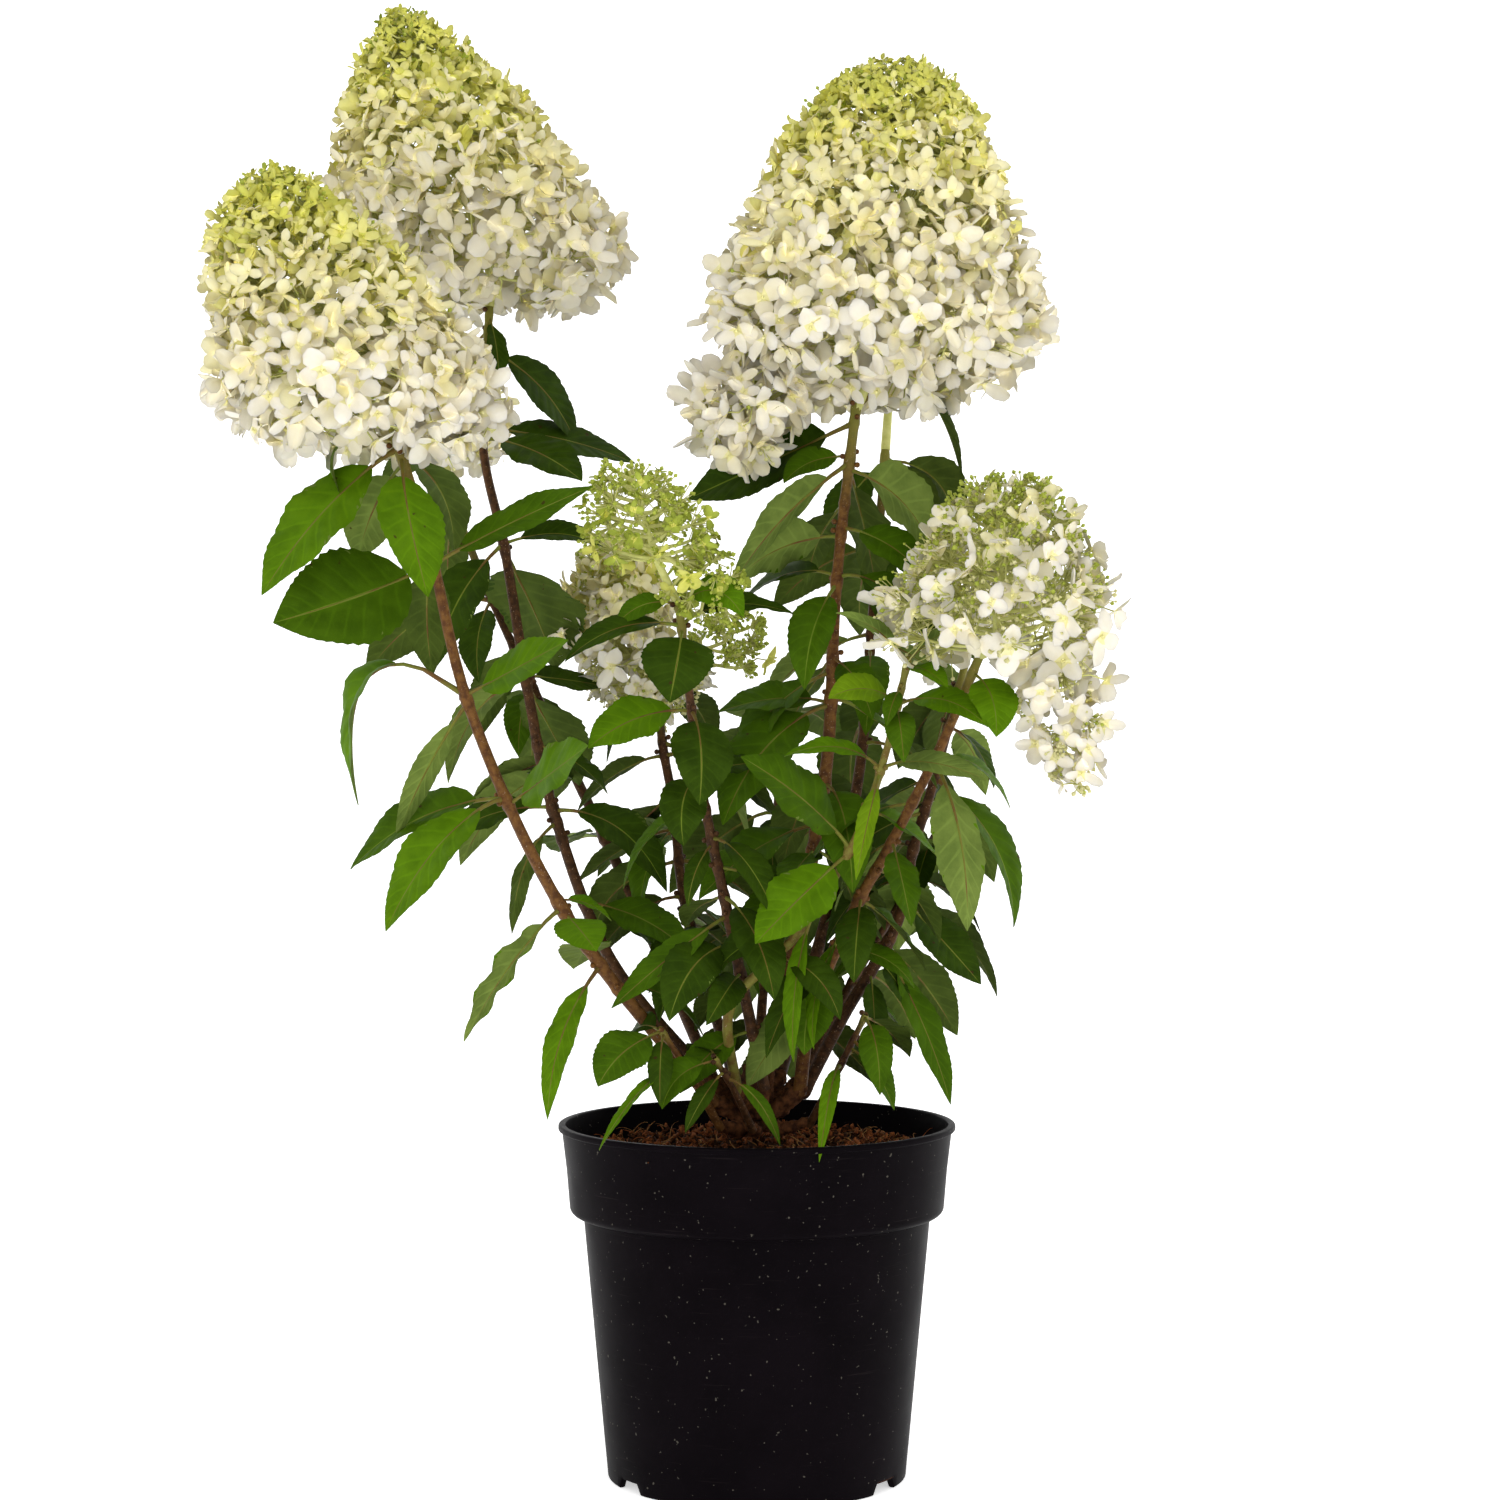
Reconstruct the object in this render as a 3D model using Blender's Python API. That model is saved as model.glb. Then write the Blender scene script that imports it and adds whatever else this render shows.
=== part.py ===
"""A panicle hydrangea in its nursery pot, as solids at real size.

Metres, Z up. The origin is the centre of the pot's underside and -Y is the front.
Sizes in the tables are millimetres, angles are degrees. A heading is the plan direction:
0 points right (+X), 90 to the back, 180 left and 270 to the front.
"""

import math
import random

import bmesh
import bpy
import numpy as np
from mathutils import Matrix, Vector
from mathutils.bvhtree import BVHTree

MM = 0.001
GAP = 0.3 * MM
DIRECTION_STEP = 0.02
GOLDEN_ANGLE = math.radians(137.5)
UP = Vector((0, 0, 1))
DEPTH = Vector((0, 1, 0))

# Pot
POT_SIDES = 28
POT_HEIGHT = 204 * MM
RIM_RADIUS = 115 * MM
RIM_LIP = 3.5 * MM
COLLAR_RADIUS = 109 * MM
COLLAR_HEIGHT = 52 * MM
BODY_TOP_RADIUS = 100.5 * MM
BODY_FOOT_RADIUS = 87 * MM
WALL = 2 * MM
EDGE = 1 * MM
DRAFT = 0.6 * MM
FOOT_HEIGHT = 7 * MM
FOOT_WIDTH = 3 * MM
CENTRE_PAD_RADIUS = 30 * MM
NOTCH_HEADINGS = (33, 147, 213, 327)
NOTCH_WIDTH = 23 * MM
NOTCH_DEPTH = 12 * MM
COLLAR_CORNER = 5 * MM
SMOOTH_ANGLE = math.radians(35)

# Compost
COMPOST_LEVEL = POT_HEIGHT - 15 * MM
COMPOST_LUMP = 2.5 * MM
COMPOST_RINGS = 3
COMPOST_FLAT_RADIUS = 42 * MM
COMPOST_SHOULDER = 8 * MM
COMPOST_NARROWING = 4 * MM
COMPOST_EDGE_DROP = 2 * MM
COMPOST_SEED = 5

# Woody crown, where every stem starts
CROWN_RADIUS = 22 * MM
CROWN_TOP = COMPOST_LEVEL + 36 * MM
CROWN_SIDES = 8
CROWN_PROFILE = ((0, 1.15), (0.2, 1.0), (0.5, 0.92), (0.8, 0.85), (1, 0.5))
CROWN_ROUGHNESS = (0.86, 1.1)
HEART_DEPTH = 16 * MM
LOW_HEART_HEIGHT = 11 * MM
MIDDLE_FOOT = (6, -2)
FOOT_RING_RADIUS = 28 * MM
BASAL_RING_RADIUS = 31 * MM
STUB_ROOT_SHARE = 0.35
STUB_FLARE = 1.5
STUB_FIT = 1.04
STEM_SIDES = 6
SHOOT_SIDES = 5
TWIG_SIDES = 3
BOUGH_RING_STEP = 22 * MM
SHOOT_RING_STEP = 32 * MM
OLD_STUBS = ((250, 46, 14), (75, 50, 10))
OLD_STUB_RADIUS = 5 * MM
OLD_STUB_TAPER = 0.9
CROWN_SEED = 11
LEAST_RINGS = 4

# Leaves
PETIOLE_SHARE = 0.16
PETIOLE_RADIUS = 1.3 * MM
LEAF_WIDTH_SHARE = 0.47
LEAF_ARCH = 0.13
LEAF_FOLD = 0.24
LEAF_THINNEST = 1.2 * MM
LEAF_THICKNESS_SHARE = 1 / 75
LEAF_STATIONS = ((0.0, 0.07), (0.34, 1.0), (0.72, 0.66))
CLEARANCE = 0.9 * MM

# Blooms
BLOOM_WIDEST = 0.16
BLOOM_UNDERSIDE = 0.12
BLOOM_SHOULDER = 1.25
CORE_SIDES = 9
CORE_LEVELS = (0.03, 0.18, 0.4, 0.62, 0.84)
CORE_SETBACK = 7 * MM
OPEN_CORE = 0.32
CORE_TIP = 0.99
LUMP_THREES = 0.07
LUMP_PAIRS = 0.05
NORMAL_STEP = 0.03
LOWEST_PLACE = -0.096
HIGHEST_PLACE = 0.97
FLORET_CORNERS = 8
FLORET_VALLEY = 0.6
FLORET_DISH = 0.16
FLORET_SPREAD = (0.88, 1.1)
FLORET_SINK = 2 * MM
FLORET_LIFT = 0.15
FLORET_ROOT = 15 * MM
STALKED_FLORET_ROOT = 7 * MM
STALK_RADIUS = 1.3 * MM
STALK_TAPER = 0.8
STALK_RISE = 0.12
LOWEST_STALK = 0.02
SIDE_STALK_RADIUS = 2 * MM
SIDE_STALK_ROOT = 8 * MM
SIDE_STALK_END = 6 * MM
RACHIS_REACH = 0.35
RACHIS_TAPER = (0.95, 0.7)

COLOURS = {
    "pot": (0.012, 0.011, 0.012),
    "compost": (0.06, 0.025, 0.012),
    "wood": (0.11, 0.055, 0.03),
    "stem": (0.16, 0.06, 0.03),
    "leaf": (0.07, 0.18, 0.02),
    "bloom": (0.78, 0.72, 0.5),
}
ROUGHNESS = {"pot": 0.42, "compost": 0.95, "wood": 0.85, "stem": 0.6, "leaf": 0.5, "bloom": 0.75}

# Sizes in the tables below are millimetres and angles are degrees.

# Each shoot: the heading and height of its foot on the crown, the points that its stem runs
# through, its radius at foot and tip, and the share of its length that is bare.
SHOOTS = {
    "left_front": dict(
        foot=(213, 216), bare=0.21, radius=(4.6, 3.0),
        route=((-89, -35, 298), (-128, -50, 364), (-163, -66, 451), (-182, -82, 535), (-204, -94, 608)),
    ),
    "left_back": dict(
        foot=(178, 228), bare=0.33, radius=(4.4, 2.8),
        route=((-86, 25, 297), (-120, 37, 383), (-135, 44, 450), (-150, 53, 538), (-164, 61, 605),
               (-160, 68, 690)),
    ),
    "middle": dict(
        foot=(None, 238), bare=0.30, radius=(5.0, 3.2),
        route=((24, -10, 320), (40, -14, 411), (46, -19, 519), (57, -22, 619)),
    ),
    "middle_back": dict(
        foot=(62, 228), bare=0.28, radius=(4.6, 3.0),
        route=((42, 60, 320), (62, 95, 402), (72, 125, 505), (81, 148, 610)),
    ),
    "centre_front": dict(
        foot=(279, 226), bare=0.26, radius=(4.0, 2.6),
        route=((-19, -40, 338), (-32, -52, 403), (-40, -65, 470), (-44, -71, 504)),
    ),
    "centre_back": dict(
        foot=(119, 228), bare=0.26, radius=(4.2, 2.8),
        route=((-42, 60, 323), (-50, 77, 384), (-57, 88, 421), (-62, 100, 464)),
    ),
    "right_front": dict(
        foot=(330, 222), bare=0.29, radius=(4.6, 2.8),
        route=((31, -25, 268), (52, -36, 323), (78, -50, 372), (104, -62, 425), (125, -76, 476)),
    ),
    "right_back": dict(
        foot=(4, 222), bare=0.26, radius=(4.4, 2.8),
        route=((51, 10, 265), (82, 22, 317), (92, 30, 360), (105, 38, 402), (126, 66, 474)),
    ),
    "young_green": dict(
        foot=(246, 224), bare=0.40, radius=(3.6, 2.2),
        route=((-16, -46, 272), (7, -50, 301), (24, -52, 319), (54, -58, 368), (71, -62, 415),
               (85, -68, 474)),
    ),
    "far_left": dict(
        foot=(149, 224), bare=0.38, radius=(4.4, 2.8),
        route=((-70, 75, 320), (-120, 115, 420), (-162, 138, 506), (-192, 152, 576)),
    ),
    "far_middle": dict(
        foot=(91, 224), bare=0.32, radius=(3.8, 2.0),
        route=((6, 80, 300), (12, 118, 372), (14, 146, 440)),
    ),
    "far_right": dict(
        foot=(33, 224), bare=0.30, radius=(3.8, 2.0),
        route=((60, 66, 285), (95, 102, 338), (122, 128, 392)),
    ),
    "basal_left": dict(
        foot=(228, 203), bare=0, radius=(3.0, 1.8), route=((-38, -42, 236), (-55, -54, 264)),
    ),
    "basal_front": dict(
        foot=(266, 203), bare=0, radius=(2.8, 1.6), route=((-12, -46, 226), (-24, -60, 248)),
    ),
    "basal_right": dict(
        foot=(346, 203), bare=0, radius=(3.0, 1.8), route=((46, -24, 236), (62, -36, 270)),
    ),
    "basal_back": dict(
        foot=(76, 203), bare=0, radius=(3.0, 1.8), route=((14, 46, 232), (18, 62, 260)),
    ),
}

# Each leaf: share of the stem's length where it grows, heading, how far its tip hangs below
# the level (degrees), and its length with the petiole.
LEAVES = {
    "left_front": (
        (0.95, 200, 47, 99), (0.96, 238, 60, 64), (0.94, 281, 64, 86), (0.95, 55, 50, 74),
        (0.93, 130, 48, 70),
        (0.80, 212, 24, 95), (0.80, 350, -25, 100), (0.81, 95, 60, 76),
        (0.63, 186, 42, 88), (0.63, 335, -27, 72), (0.62, 230, 50, 94),
        (0.49, 205, 46, 102), (0.49, 166, 24, 98), (0.48, 322, -22, 76),
        (0.33, 213, 47, 96), (0.34, 20, 20, 34), (0.32, 287, 50, 50), (0.24, 238, 56, 98),
    ),
    "left_back": (
        (0.98, 300, 72, 44), (0.94, 20, 45, 80), (0.84, 12, 11, 95), (0.83, 322, 15, 84),
        (0.70, 354, 2, 86), (0.69, 96, 50, 80), (0.54, 38, -5, 56), (0.53, 318, 28, 76),
        (0.38, 176, 22, 76), (0.375, 340, 29, 86), (0.36, 248, 60, 74),
        (0.96, 120, 35, 70), (0.83, 142, 20, 88), (0.54, 140, 35, 92), (0.40, 90, 40, 80),
    ),
    "middle": (
        (0.97, 152, 30, 106), (0.92, 204, 17, 44), (0.91, 213, 46, 106), (0.80, 190, 24, 54),
        (0.90, 318, 50, 78), (0.90, 62, 62, 84), (0.74, 158, 15, 64), (0.73, 238, 54, 86),
        (0.55, 186, 4, 66), (0.55, 212, 50, 110), (0.74, 340, 34, 72), (0.56, 22, 38, 86),
        (0.43, 286, 48, 80), (0.43, 112, 40, 84), (0.33, 250, 20, 60), (0.33, 50, 36, 84),
    ),
    "middle_back": (
        (0.97, 325, 50, 74), (0.98, 18, 58, 62), (0.97, 215, 52, 66), (0.84, 96, 34, 98),
        (0.83, 268, 48, 60), (0.70, 12, 38, 92), (0.70, 170, 34, 84), (0.56, 92, 42, 100),
        (0.42, 24, 40, 74), (0.42, 200, 44, 66),
        (0.31, 110, 40, 80), (0.31, 310, 20, 40),
    ),
    "centre_front": (
        (0.985, 330, 36, 50), (0.99, 192, 18, 38), (0.95, 197, 17, 70), (0.95, 14, -6, 66),
        (0.94, 276, 44, 66),
        (0.78, 200, 19, 64), (0.78, 278, 58, 84), (0.65, 214, 50, 88), (0.51, 240, 52, 44),
        (0.64, 20, -10, 44), (0.52, 300, 50, 66), (0.40, 296, 40, 84), (0.40, 120, 24, 50),
        (0.30, 232, 34, 70),
    ),
    "centre_back": (
        (0.96, 58, 30, 72), (0.95, 232, 40, 62), (0.80, 206, 30, 66), (0.80, 352, 30, 84),
        (0.62, 76, 40, 96), (0.62, 246, 45, 72), (0.45, 192, 36, 70), (0.45, 338, 50, 76),
        (0.31, 250, 30, 72), (0.31, 84, 34, 74),
    ),
    "right_front": (
        (0.95, 292, 50, 46), (0.76, 292, 66, 112), (0.76, 24, 30, 56), (0.57, 290, 58, 54),
        (0.57, 118, 20, 62),
        (0.44, 262, 50, 60), (0.33, 238, 52, 92), (0.43, 20, 45, 72), (0.32, 350, 26, 50),
    ),
    "right_back": (
        (0.72, 333, 50, 96), (0.56, 300, 54, 66), (0.45, 342, 33, 72), (0.34, 322, 58, 96),
        (0.31, 285, 55, 42), (0.72, 152, 30, 74), (0.93, 22, 42, 74), (0.92, 118, 34, 84),
        (0.56, 62, 44, 84), (0.36, 150, 40, 52),
    ),
    "young_green": (
        (0.985, 195, -15, 42), (0.985, 322, -8, 44), (0.97, 300, 14, 44), (0.90, 200, 14, 38),
        (0.93, 248, 40, 32),
        (0.90, 322, 24, 70), (0.89, 275, 45, 42), (0.765, 190, 2, 56), (0.765, 322, 11, 66),
        (0.76, 250, 62, 66),
        (0.595, 205, -38, 70), (0.585, 226, 46, 78), (0.46, 282, 40, 50),
    ),
    "far_left": (
        (0.97, 100, 38, 84), (0.97, 230, 46, 70), (0.83, 176, 30, 92), (0.83, 0, 24, 74),
        (0.68, 94, 40, 100), (0.68, 262, 44, 60), (0.54, 172, 40, 92), (0.54, 350, 38, 62),
        (0.42, 92, 46, 96),
    ),
    "far_middle": (
        (0.98, 60, 12, 92), (0.98, 225, -10, 50), (0.97, 125, 30, 88), (0.74, 20, 32, 84),
        (0.74, 160, 36, 88),
        (0.52, 92, 44, 96), (0.38, 30, 44, 74), (0.38, 112, 44, 74),
    ),
    "far_right": (
        (0.98, 10, 14, 84), (0.98, 120, 18, 84), (0.97, 65, 34, 96), (0.72, 318, 30, 60),
        (0.72, 100, 36, 84),
        (0.50, 40, 42, 92), (0.36, 330, 44, 52),
    ),
    "basal_left": (
        (0.97, 225, 45, 60), (0.94, 268, 50, 48), (0.62, 244, 24, 92), (0.92, 160, 30, 72),
        (0.60, 140, 24, 56),
    ),
    "basal_front": ((0.96, 236, 46, 54), (0.80, 268, 42, 44), (0.95, 304, 34, 62), (0.70, 344, 26, 40)),
    "basal_right": (
        (0.97, 282, 48, 54), (0.78, 312, 48, 50), (0.55, 268, 17, 102), (0.72, 338, 24, 46),
        (0.96, 352, 26, 64), (0.60, 30, 14, 50),
    ),
    "basal_back": ((0.96, 84, 34, 84), (0.95, 14, 36, 72), (0.94, 166, 34, 74), (0.60, 116, 24, 66)),
}

# Each bloom: the shoot that carries it and its cones. A cone is its base, its apex, its
# radius and its number of florets. An open bloom holds its florets on stalks round a thin core.
# The bluntness is low for a dome and high for a pointed cone.
BLOOMS = {
    "upper_left": dict(
        shoot="left_back", open=False, floret=19, bluntness=0.6,
        cones=(((-158, 70, 700), (-213, 80, 868), 88, 22),),
    ),
    "left": dict(
        shoot="left_front", open=False, floret=19, bluntness=0.44,
        cones=(((-196, -94, 612), (-267, -118, 733), 78, 19), ((-178, -90, 628), (-138, -88, 600), 34, 4)),
    ),
    "right": dict(
        shoot="middle", open=False, floret=20, bluntness=0.42,
        cones=(((57, -23, 634), (77, -30, 810), 94, 24), ((20, -26, 640), (-14, -32, 594), 30, 4)),
    ),
    "right_rear": dict(
        shoot="middle_back", open=False, floret=18, bluntness=0.5,
        cones=(((82, 152, 622), (98, 174, 762), 66, 13),),
    ),
    "far_right": dict(
        shoot="right_front", open=True, floret=16, bluntness=0.4,
        cones=(((126, -80, 496), (139, -94, 576), 74, 17), ((150, -78, 462), (172, -72, 408), 26, 4)),
    ),
    "centre_green": dict(
        shoot="centre_front", open=True, floret=12, bluntness=0.5,
        cones=(((-47, -74, 518), (-68, -79, 584), 46, 11),),
    ),
    "centre_rear": dict(
        shoot="centre_back", open=False, floret=15, bluntness=0.4,
        cones=(((-62, 101, 474), (-70, 113, 548), 54, 11),),
    ),
    "side_rear": dict(
        shoot="right_back", open=True, floret=15, bluntness=0.5,
        cones=(((130, 74, 492), (148, 92, 568), 44, 8),),
    ),
    "left_rear": dict(
        shoot="far_left", open=False, floret=16, bluntness=0.5,
        cones=(((-195, 153, 594), (-212, 170, 672), 46, 9),),
    ),
}


def clear_scene():
    for item in list(bpy.data.objects):
        bpy.data.objects.remove(item, do_unlink=True)


def make_material(name):
    material = bpy.data.materials.new(name)
    material.use_nodes = True
    shader = material.node_tree.nodes["Principled BSDF"]
    shader.inputs["Base Color"].default_value = (*COLOURS[name], 1)
    shader.inputs["Roughness"].default_value = ROUGHNESS[name]
    return material


def mesh_from(name, vertices, faces):
    """A mesh with its faces turned outwards."""
    mesh = bpy.data.meshes.new(name)
    mesh.from_pydata([tuple(vertex) for vertex in vertices], [], faces)
    shape = bmesh.new()
    shape.from_mesh(mesh)
    bmesh.ops.recalc_face_normals(shape, faces=shape.faces)
    shape.to_mesh(mesh)
    shape.free()
    return mesh


def add_object(name, mesh, material=None):
    item = bpy.data.objects.new(name, mesh)
    bpy.context.scene.collection.objects.link(item)
    if material:
        mesh.materials.clear()
        mesh.materials.append(material)
    return item


def loft(rings):
    """Vertices and faces of a closed skin over rings of points; a ring of one point is a tip."""
    vertices = [point for ring in rings for point in ring]
    starts = np.cumsum([0] + [len(ring) for ring in rings])
    faces = []
    for index in range(len(rings) - 1):
        low, high = starts[index], starts[index + 1]
        count, after = len(rings[index]), len(rings[index + 1])
        sides = max(count, after)
        for side in range(sides):
            turn = (side + 1) % sides
            face = [low + side % count, low + turn % count, high + turn % after, high + side % after]
            faces.append(list(dict.fromkeys(int(corner) for corner in face)))
    if len(rings[0]) > 1:
        faces.append([int(corner) for corner in range(len(rings[0]))][::-1])
    if len(rings[-1]) > 1:
        faces.append([int(starts[-2] + corner) for corner in range(len(rings[-1]))])
    return vertices, faces


def circle(centre, direction, radius, sides):
    """A ring of points about a centre, square to a direction."""
    reference = DEPTH if abs(direction.dot(DEPTH)) < 0.9 else UP
    across = reference.cross(direction).normalized()
    other = direction.cross(across).normalized()
    angles = [math.tau * side / sides for side in range(sides)]
    return [centre + radius * (math.cos(angle) * across + math.sin(angle) * other) for angle in angles]


class SmoothCurve:
    """A smooth curve through given points, read by the share of its length."""

    STEPS = 16

    def __init__(self, points):
        ends = [2 * points[0] - points[1]] + list(points) + [2 * points[-1] - points[-2]]
        self.samples = []
        for before, start, end, after in zip(ends, ends[1:], ends[2:], ends[3:]):
            for step in range(self.STEPS):
                self.samples.append(self.blend(before, start, end, after, step / self.STEPS))
        self.samples.append(points[-1])
        lengths = [(b - a).length for a, b in zip(self.samples, self.samples[1:])]
        self.marks = np.concatenate([[0], np.cumsum(lengths)])
        self.length = float(self.marks[-1])

    @staticmethod
    def blend(before, start, end, after, share):
        return 0.5 * (
            2 * start
            + (end - before) * share
            + (2 * before - 5 * start + 4 * end - after) * share**2
            + (3 * start - before - 3 * end + after) * share**3
        )

    def point(self, share):
        mark = share * self.length
        index = int(np.clip(np.searchsorted(self.marks, mark) - 1, 0, len(self.samples) - 2))
        part = (mark - self.marks[index]) / (self.marks[index + 1] - self.marks[index])
        return self.samples[index].lerp(self.samples[index + 1], float(part))

    def direction(self, share):
        ahead = self.point(min(share + DIRECTION_STEP, 1))
        behind = self.point(max(share - DIRECTION_STEP, 0))
        return (ahead - behind).normalized()


def foot_point(shoot):
    heading, height = shoot["foot"]
    if heading is None:
        return Vector((*MIDDLE_FOOT, height)) * MM
    radius = BASAL_RING_RADIUS if shoot["bare"] == 0 else FOOT_RING_RADIUS
    angle = math.radians(heading)
    return Vector((radius * math.cos(angle), radius * math.sin(angle), height * MM))


def shoot_curve(name):
    shoot = SHOOTS[name]
    return SmoothCurve([foot_point(shoot)] + [Vector(point) * MM for point in shoot["route"]])


def stem_radius(shoot, share):
    foot, tip = shoot["radius"]
    return (foot + (tip - foot) * share) * MM


def stem_solid(name, shoot, curve, start, end, sides, rings):
    """A tapering limb along part of a curve, cut square at both ends."""
    levels = [start + (end - start) * ring / (rings - 1) for ring in range(rings)]
    skin = [circle(curve.point(t), curve.direction(t), stem_radius(shoot, t), sides) for t in levels]
    return mesh_from(name, *loft(skin))


def leaf_frame(heading, hang):
    """Directions along a leaf, across it and out of its upper face."""
    turn, drop = math.radians(heading), math.radians(hang)
    along = Vector((math.cos(turn) * math.cos(drop), math.sin(turn) * math.cos(drop), -math.sin(drop)))
    across = UP.cross(along).normalized()
    return along, across, along.cross(across)


def leaf_rings(root, heading, hang, length, grow=0.0):
    """Rings from a root inside the stem, along the petiole and blade, to a pointed tip."""
    along, across, out = leaf_frame(heading, hang)
    thickness = max(LEAF_THINNEST, length * LEAF_THICKNESS_SHARE) / 2 + grow
    stalk = PETIOLE_RADIUS + grow
    rings = [[root - across * stalk, root + out * stalk, root + across * stalk, root - out * stalk]]
    for share, fullness in LEAF_STATIONS:
        distance = PETIOLE_SHARE + (1 - PETIOLE_SHARE) * share
        rise = LEAF_ARCH * 4 * distance * (1 - distance)
        middle = root + along * length * distance + out * length * rise
        half = length * LEAF_WIDTH_SHARE / 2 * fullness + grow
        lift = out * half * LEAF_FOLD
        edge = across * half
        rib = out * thickness
        rings.append([middle - edge + lift, middle + rib, middle + edge + lift, middle - rib])
    rings.append([root + along * (length + grow)])
    return rings


def touches(vertices, faces, neighbours):
    skin = BVHTree.FromPolygons(vertices, faces)
    return any(skin.overlap(neighbour) for neighbour in neighbours)


def is_closed(mesh):
    shape = bmesh.new()
    shape.from_mesh(mesh)
    closed = len(shape.faces) > 0 and all(len(edge.link_faces) == 2 for edge in shape.edges)
    shape.free()
    return closed


def keep_main_shell(mesh):
    """Drop loose scraps and sealed hollows: only the shell with the most volume stays."""
    shape = bmesh.new()
    shape.from_mesh(mesh)
    bmesh.ops.triangulate(shape, faces=shape.faces)
    unseen = set(shape.faces)
    shells = []
    while unseen:
        waiting = [unseen.pop()]
        shell = []
        while waiting:
            face = waiting.pop()
            shell.append(face)
            for edge in face.edges:
                for other in edge.link_faces:
                    if other in unseen:
                        unseen.remove(other)
                        waiting.append(other)
        shells.append(shell)
    if len(shells) > 1:
        shells.sort(key=shell_volume)
        spare = [face for shell in shells[:-1] for face in shell]
        bmesh.ops.delete(shape, geom=spare, context="FACES")
    shape.to_mesh(mesh)
    shape.free()
    return len(shells)


def shell_volume(shell):
    total = 0.0
    for face in shell:
        first, second, third = (loop.vert.co for loop in face.loops)
        total += first.dot(second.cross(third)) / 6
    return total


def joined_mesh(item, collection, solver):
    join = item.modifiers.new("join", "BOOLEAN")
    join.operation = "UNION"
    join.operand_type = "COLLECTION"
    join.collection = collection
    join.solver = solver
    evaluated = item.evaluated_get(bpy.context.evaluated_depsgraph_get())
    mesh = bpy.data.meshes.new_from_object(evaluated)
    item.modifiers.clear()
    return mesh


def fuse(name, base, parts, material):
    """One closed solid from a base mesh and the meshes that are rooted in it."""
    item = add_object(name, base)
    collection = bpy.data.collections.new(name + "_parts")
    bpy.context.scene.collection.children.link(collection)
    for index, part in enumerate(parts):
        collection.objects.link(bpy.data.objects.new(f"{name}_part_{index}", part))
    bpy.context.view_layer.update()
    for solver in ("EXACT", "MANIFOLD"):
        mesh = joined_mesh(item, collection, solver)
        shells = keep_main_shell(mesh)
        if is_closed(mesh):
            break
    print(f"{name}: {len(parts)} parts, {solver}, {shells} shells, {len(mesh.polygons)} triangles")
    item.data = mesh
    mesh.materials.clear()
    mesh.materials.append(material)
    for part in list(collection.objects):
        bpy.data.objects.remove(part, do_unlink=True)
    bpy.data.collections.remove(collection)
    return item


def mesh_tree(mesh):
    corners = [vertex.co.copy() for vertex in mesh.vertices]
    return BVHTree.FromPolygons(corners, [tuple(face.vertices) for face in mesh.polygons])


def object_tree(item):
    return mesh_tree(item.data)


def turned_solid(name, profile, sides):
    """A solid of revolution from a closed profile of radius and height."""
    shape = bmesh.new()
    corners = [shape.verts.new((radius, 0, height)) for radius, height in profile]
    edges = [shape.edges.new(pair) for pair in zip(corners, corners[1:])]
    bmesh.ops.spin(
        shape, geom=corners + edges, cent=(0, 0, 0), axis=UP, angle=math.tau, steps=sides, use_merge=True
    )
    bmesh.ops.remove_doubles(shape, verts=shape.verts, dist=1e-6)
    bmesh.ops.recalc_face_normals(shape, faces=shape.faces)
    mesh = bpy.data.meshes.new(name)
    shape.to_mesh(mesh)
    shape.free()
    return mesh


def body_radius(height):
    """Outer radius of the pot's body between its foot and its collar."""
    share = (height - FOOT_HEIGHT) / (POT_HEIGHT - COLLAR_HEIGHT - FOOT_HEIGHT)
    return BODY_FOOT_RADIUS + (BODY_TOP_RADIUS - BODY_FOOT_RADIUS) * share


def pot_profile():
    collar_foot = POT_HEIGHT - COLLAR_HEIGHT
    lip_foot = POT_HEIGHT - RIM_LIP
    foot_radius = BODY_FOOT_RADIUS - DRAFT
    return [
        (0, 0),
        (CENTRE_PAD_RADIUS, 0),
        (CENTRE_PAD_RADIUS + WALL, FOOT_HEIGHT),
        (foot_radius - FOOT_WIDTH - EDGE, FOOT_HEIGHT),
        (foot_radius - FOOT_WIDTH, 0),
        (foot_radius, 0),
        (BODY_FOOT_RADIUS, FOOT_HEIGHT + EDGE),
        (BODY_TOP_RADIUS, collar_foot),
        (COLLAR_RADIUS - 2 * EDGE, collar_foot + EDGE),
        (COLLAR_RADIUS - DRAFT, collar_foot + COLLAR_CORNER),
        (COLLAR_RADIUS, lip_foot),
        (RIM_RADIUS - EDGE, lip_foot),
        (RIM_RADIUS, lip_foot + RIM_LIP / 2),
        (RIM_RADIUS - EDGE, POT_HEIGHT),
        (COLLAR_RADIUS - WALL, POT_HEIGHT),
        (COLLAR_RADIUS - WALL - EDGE, collar_foot + COLLAR_CORNER),
        (BODY_TOP_RADIUS - WALL, collar_foot),
        (BODY_FOOT_RADIUS - WALL, FOOT_HEIGHT + WALL),
        (0, FOOT_HEIGHT + WALL),
    ]


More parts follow.
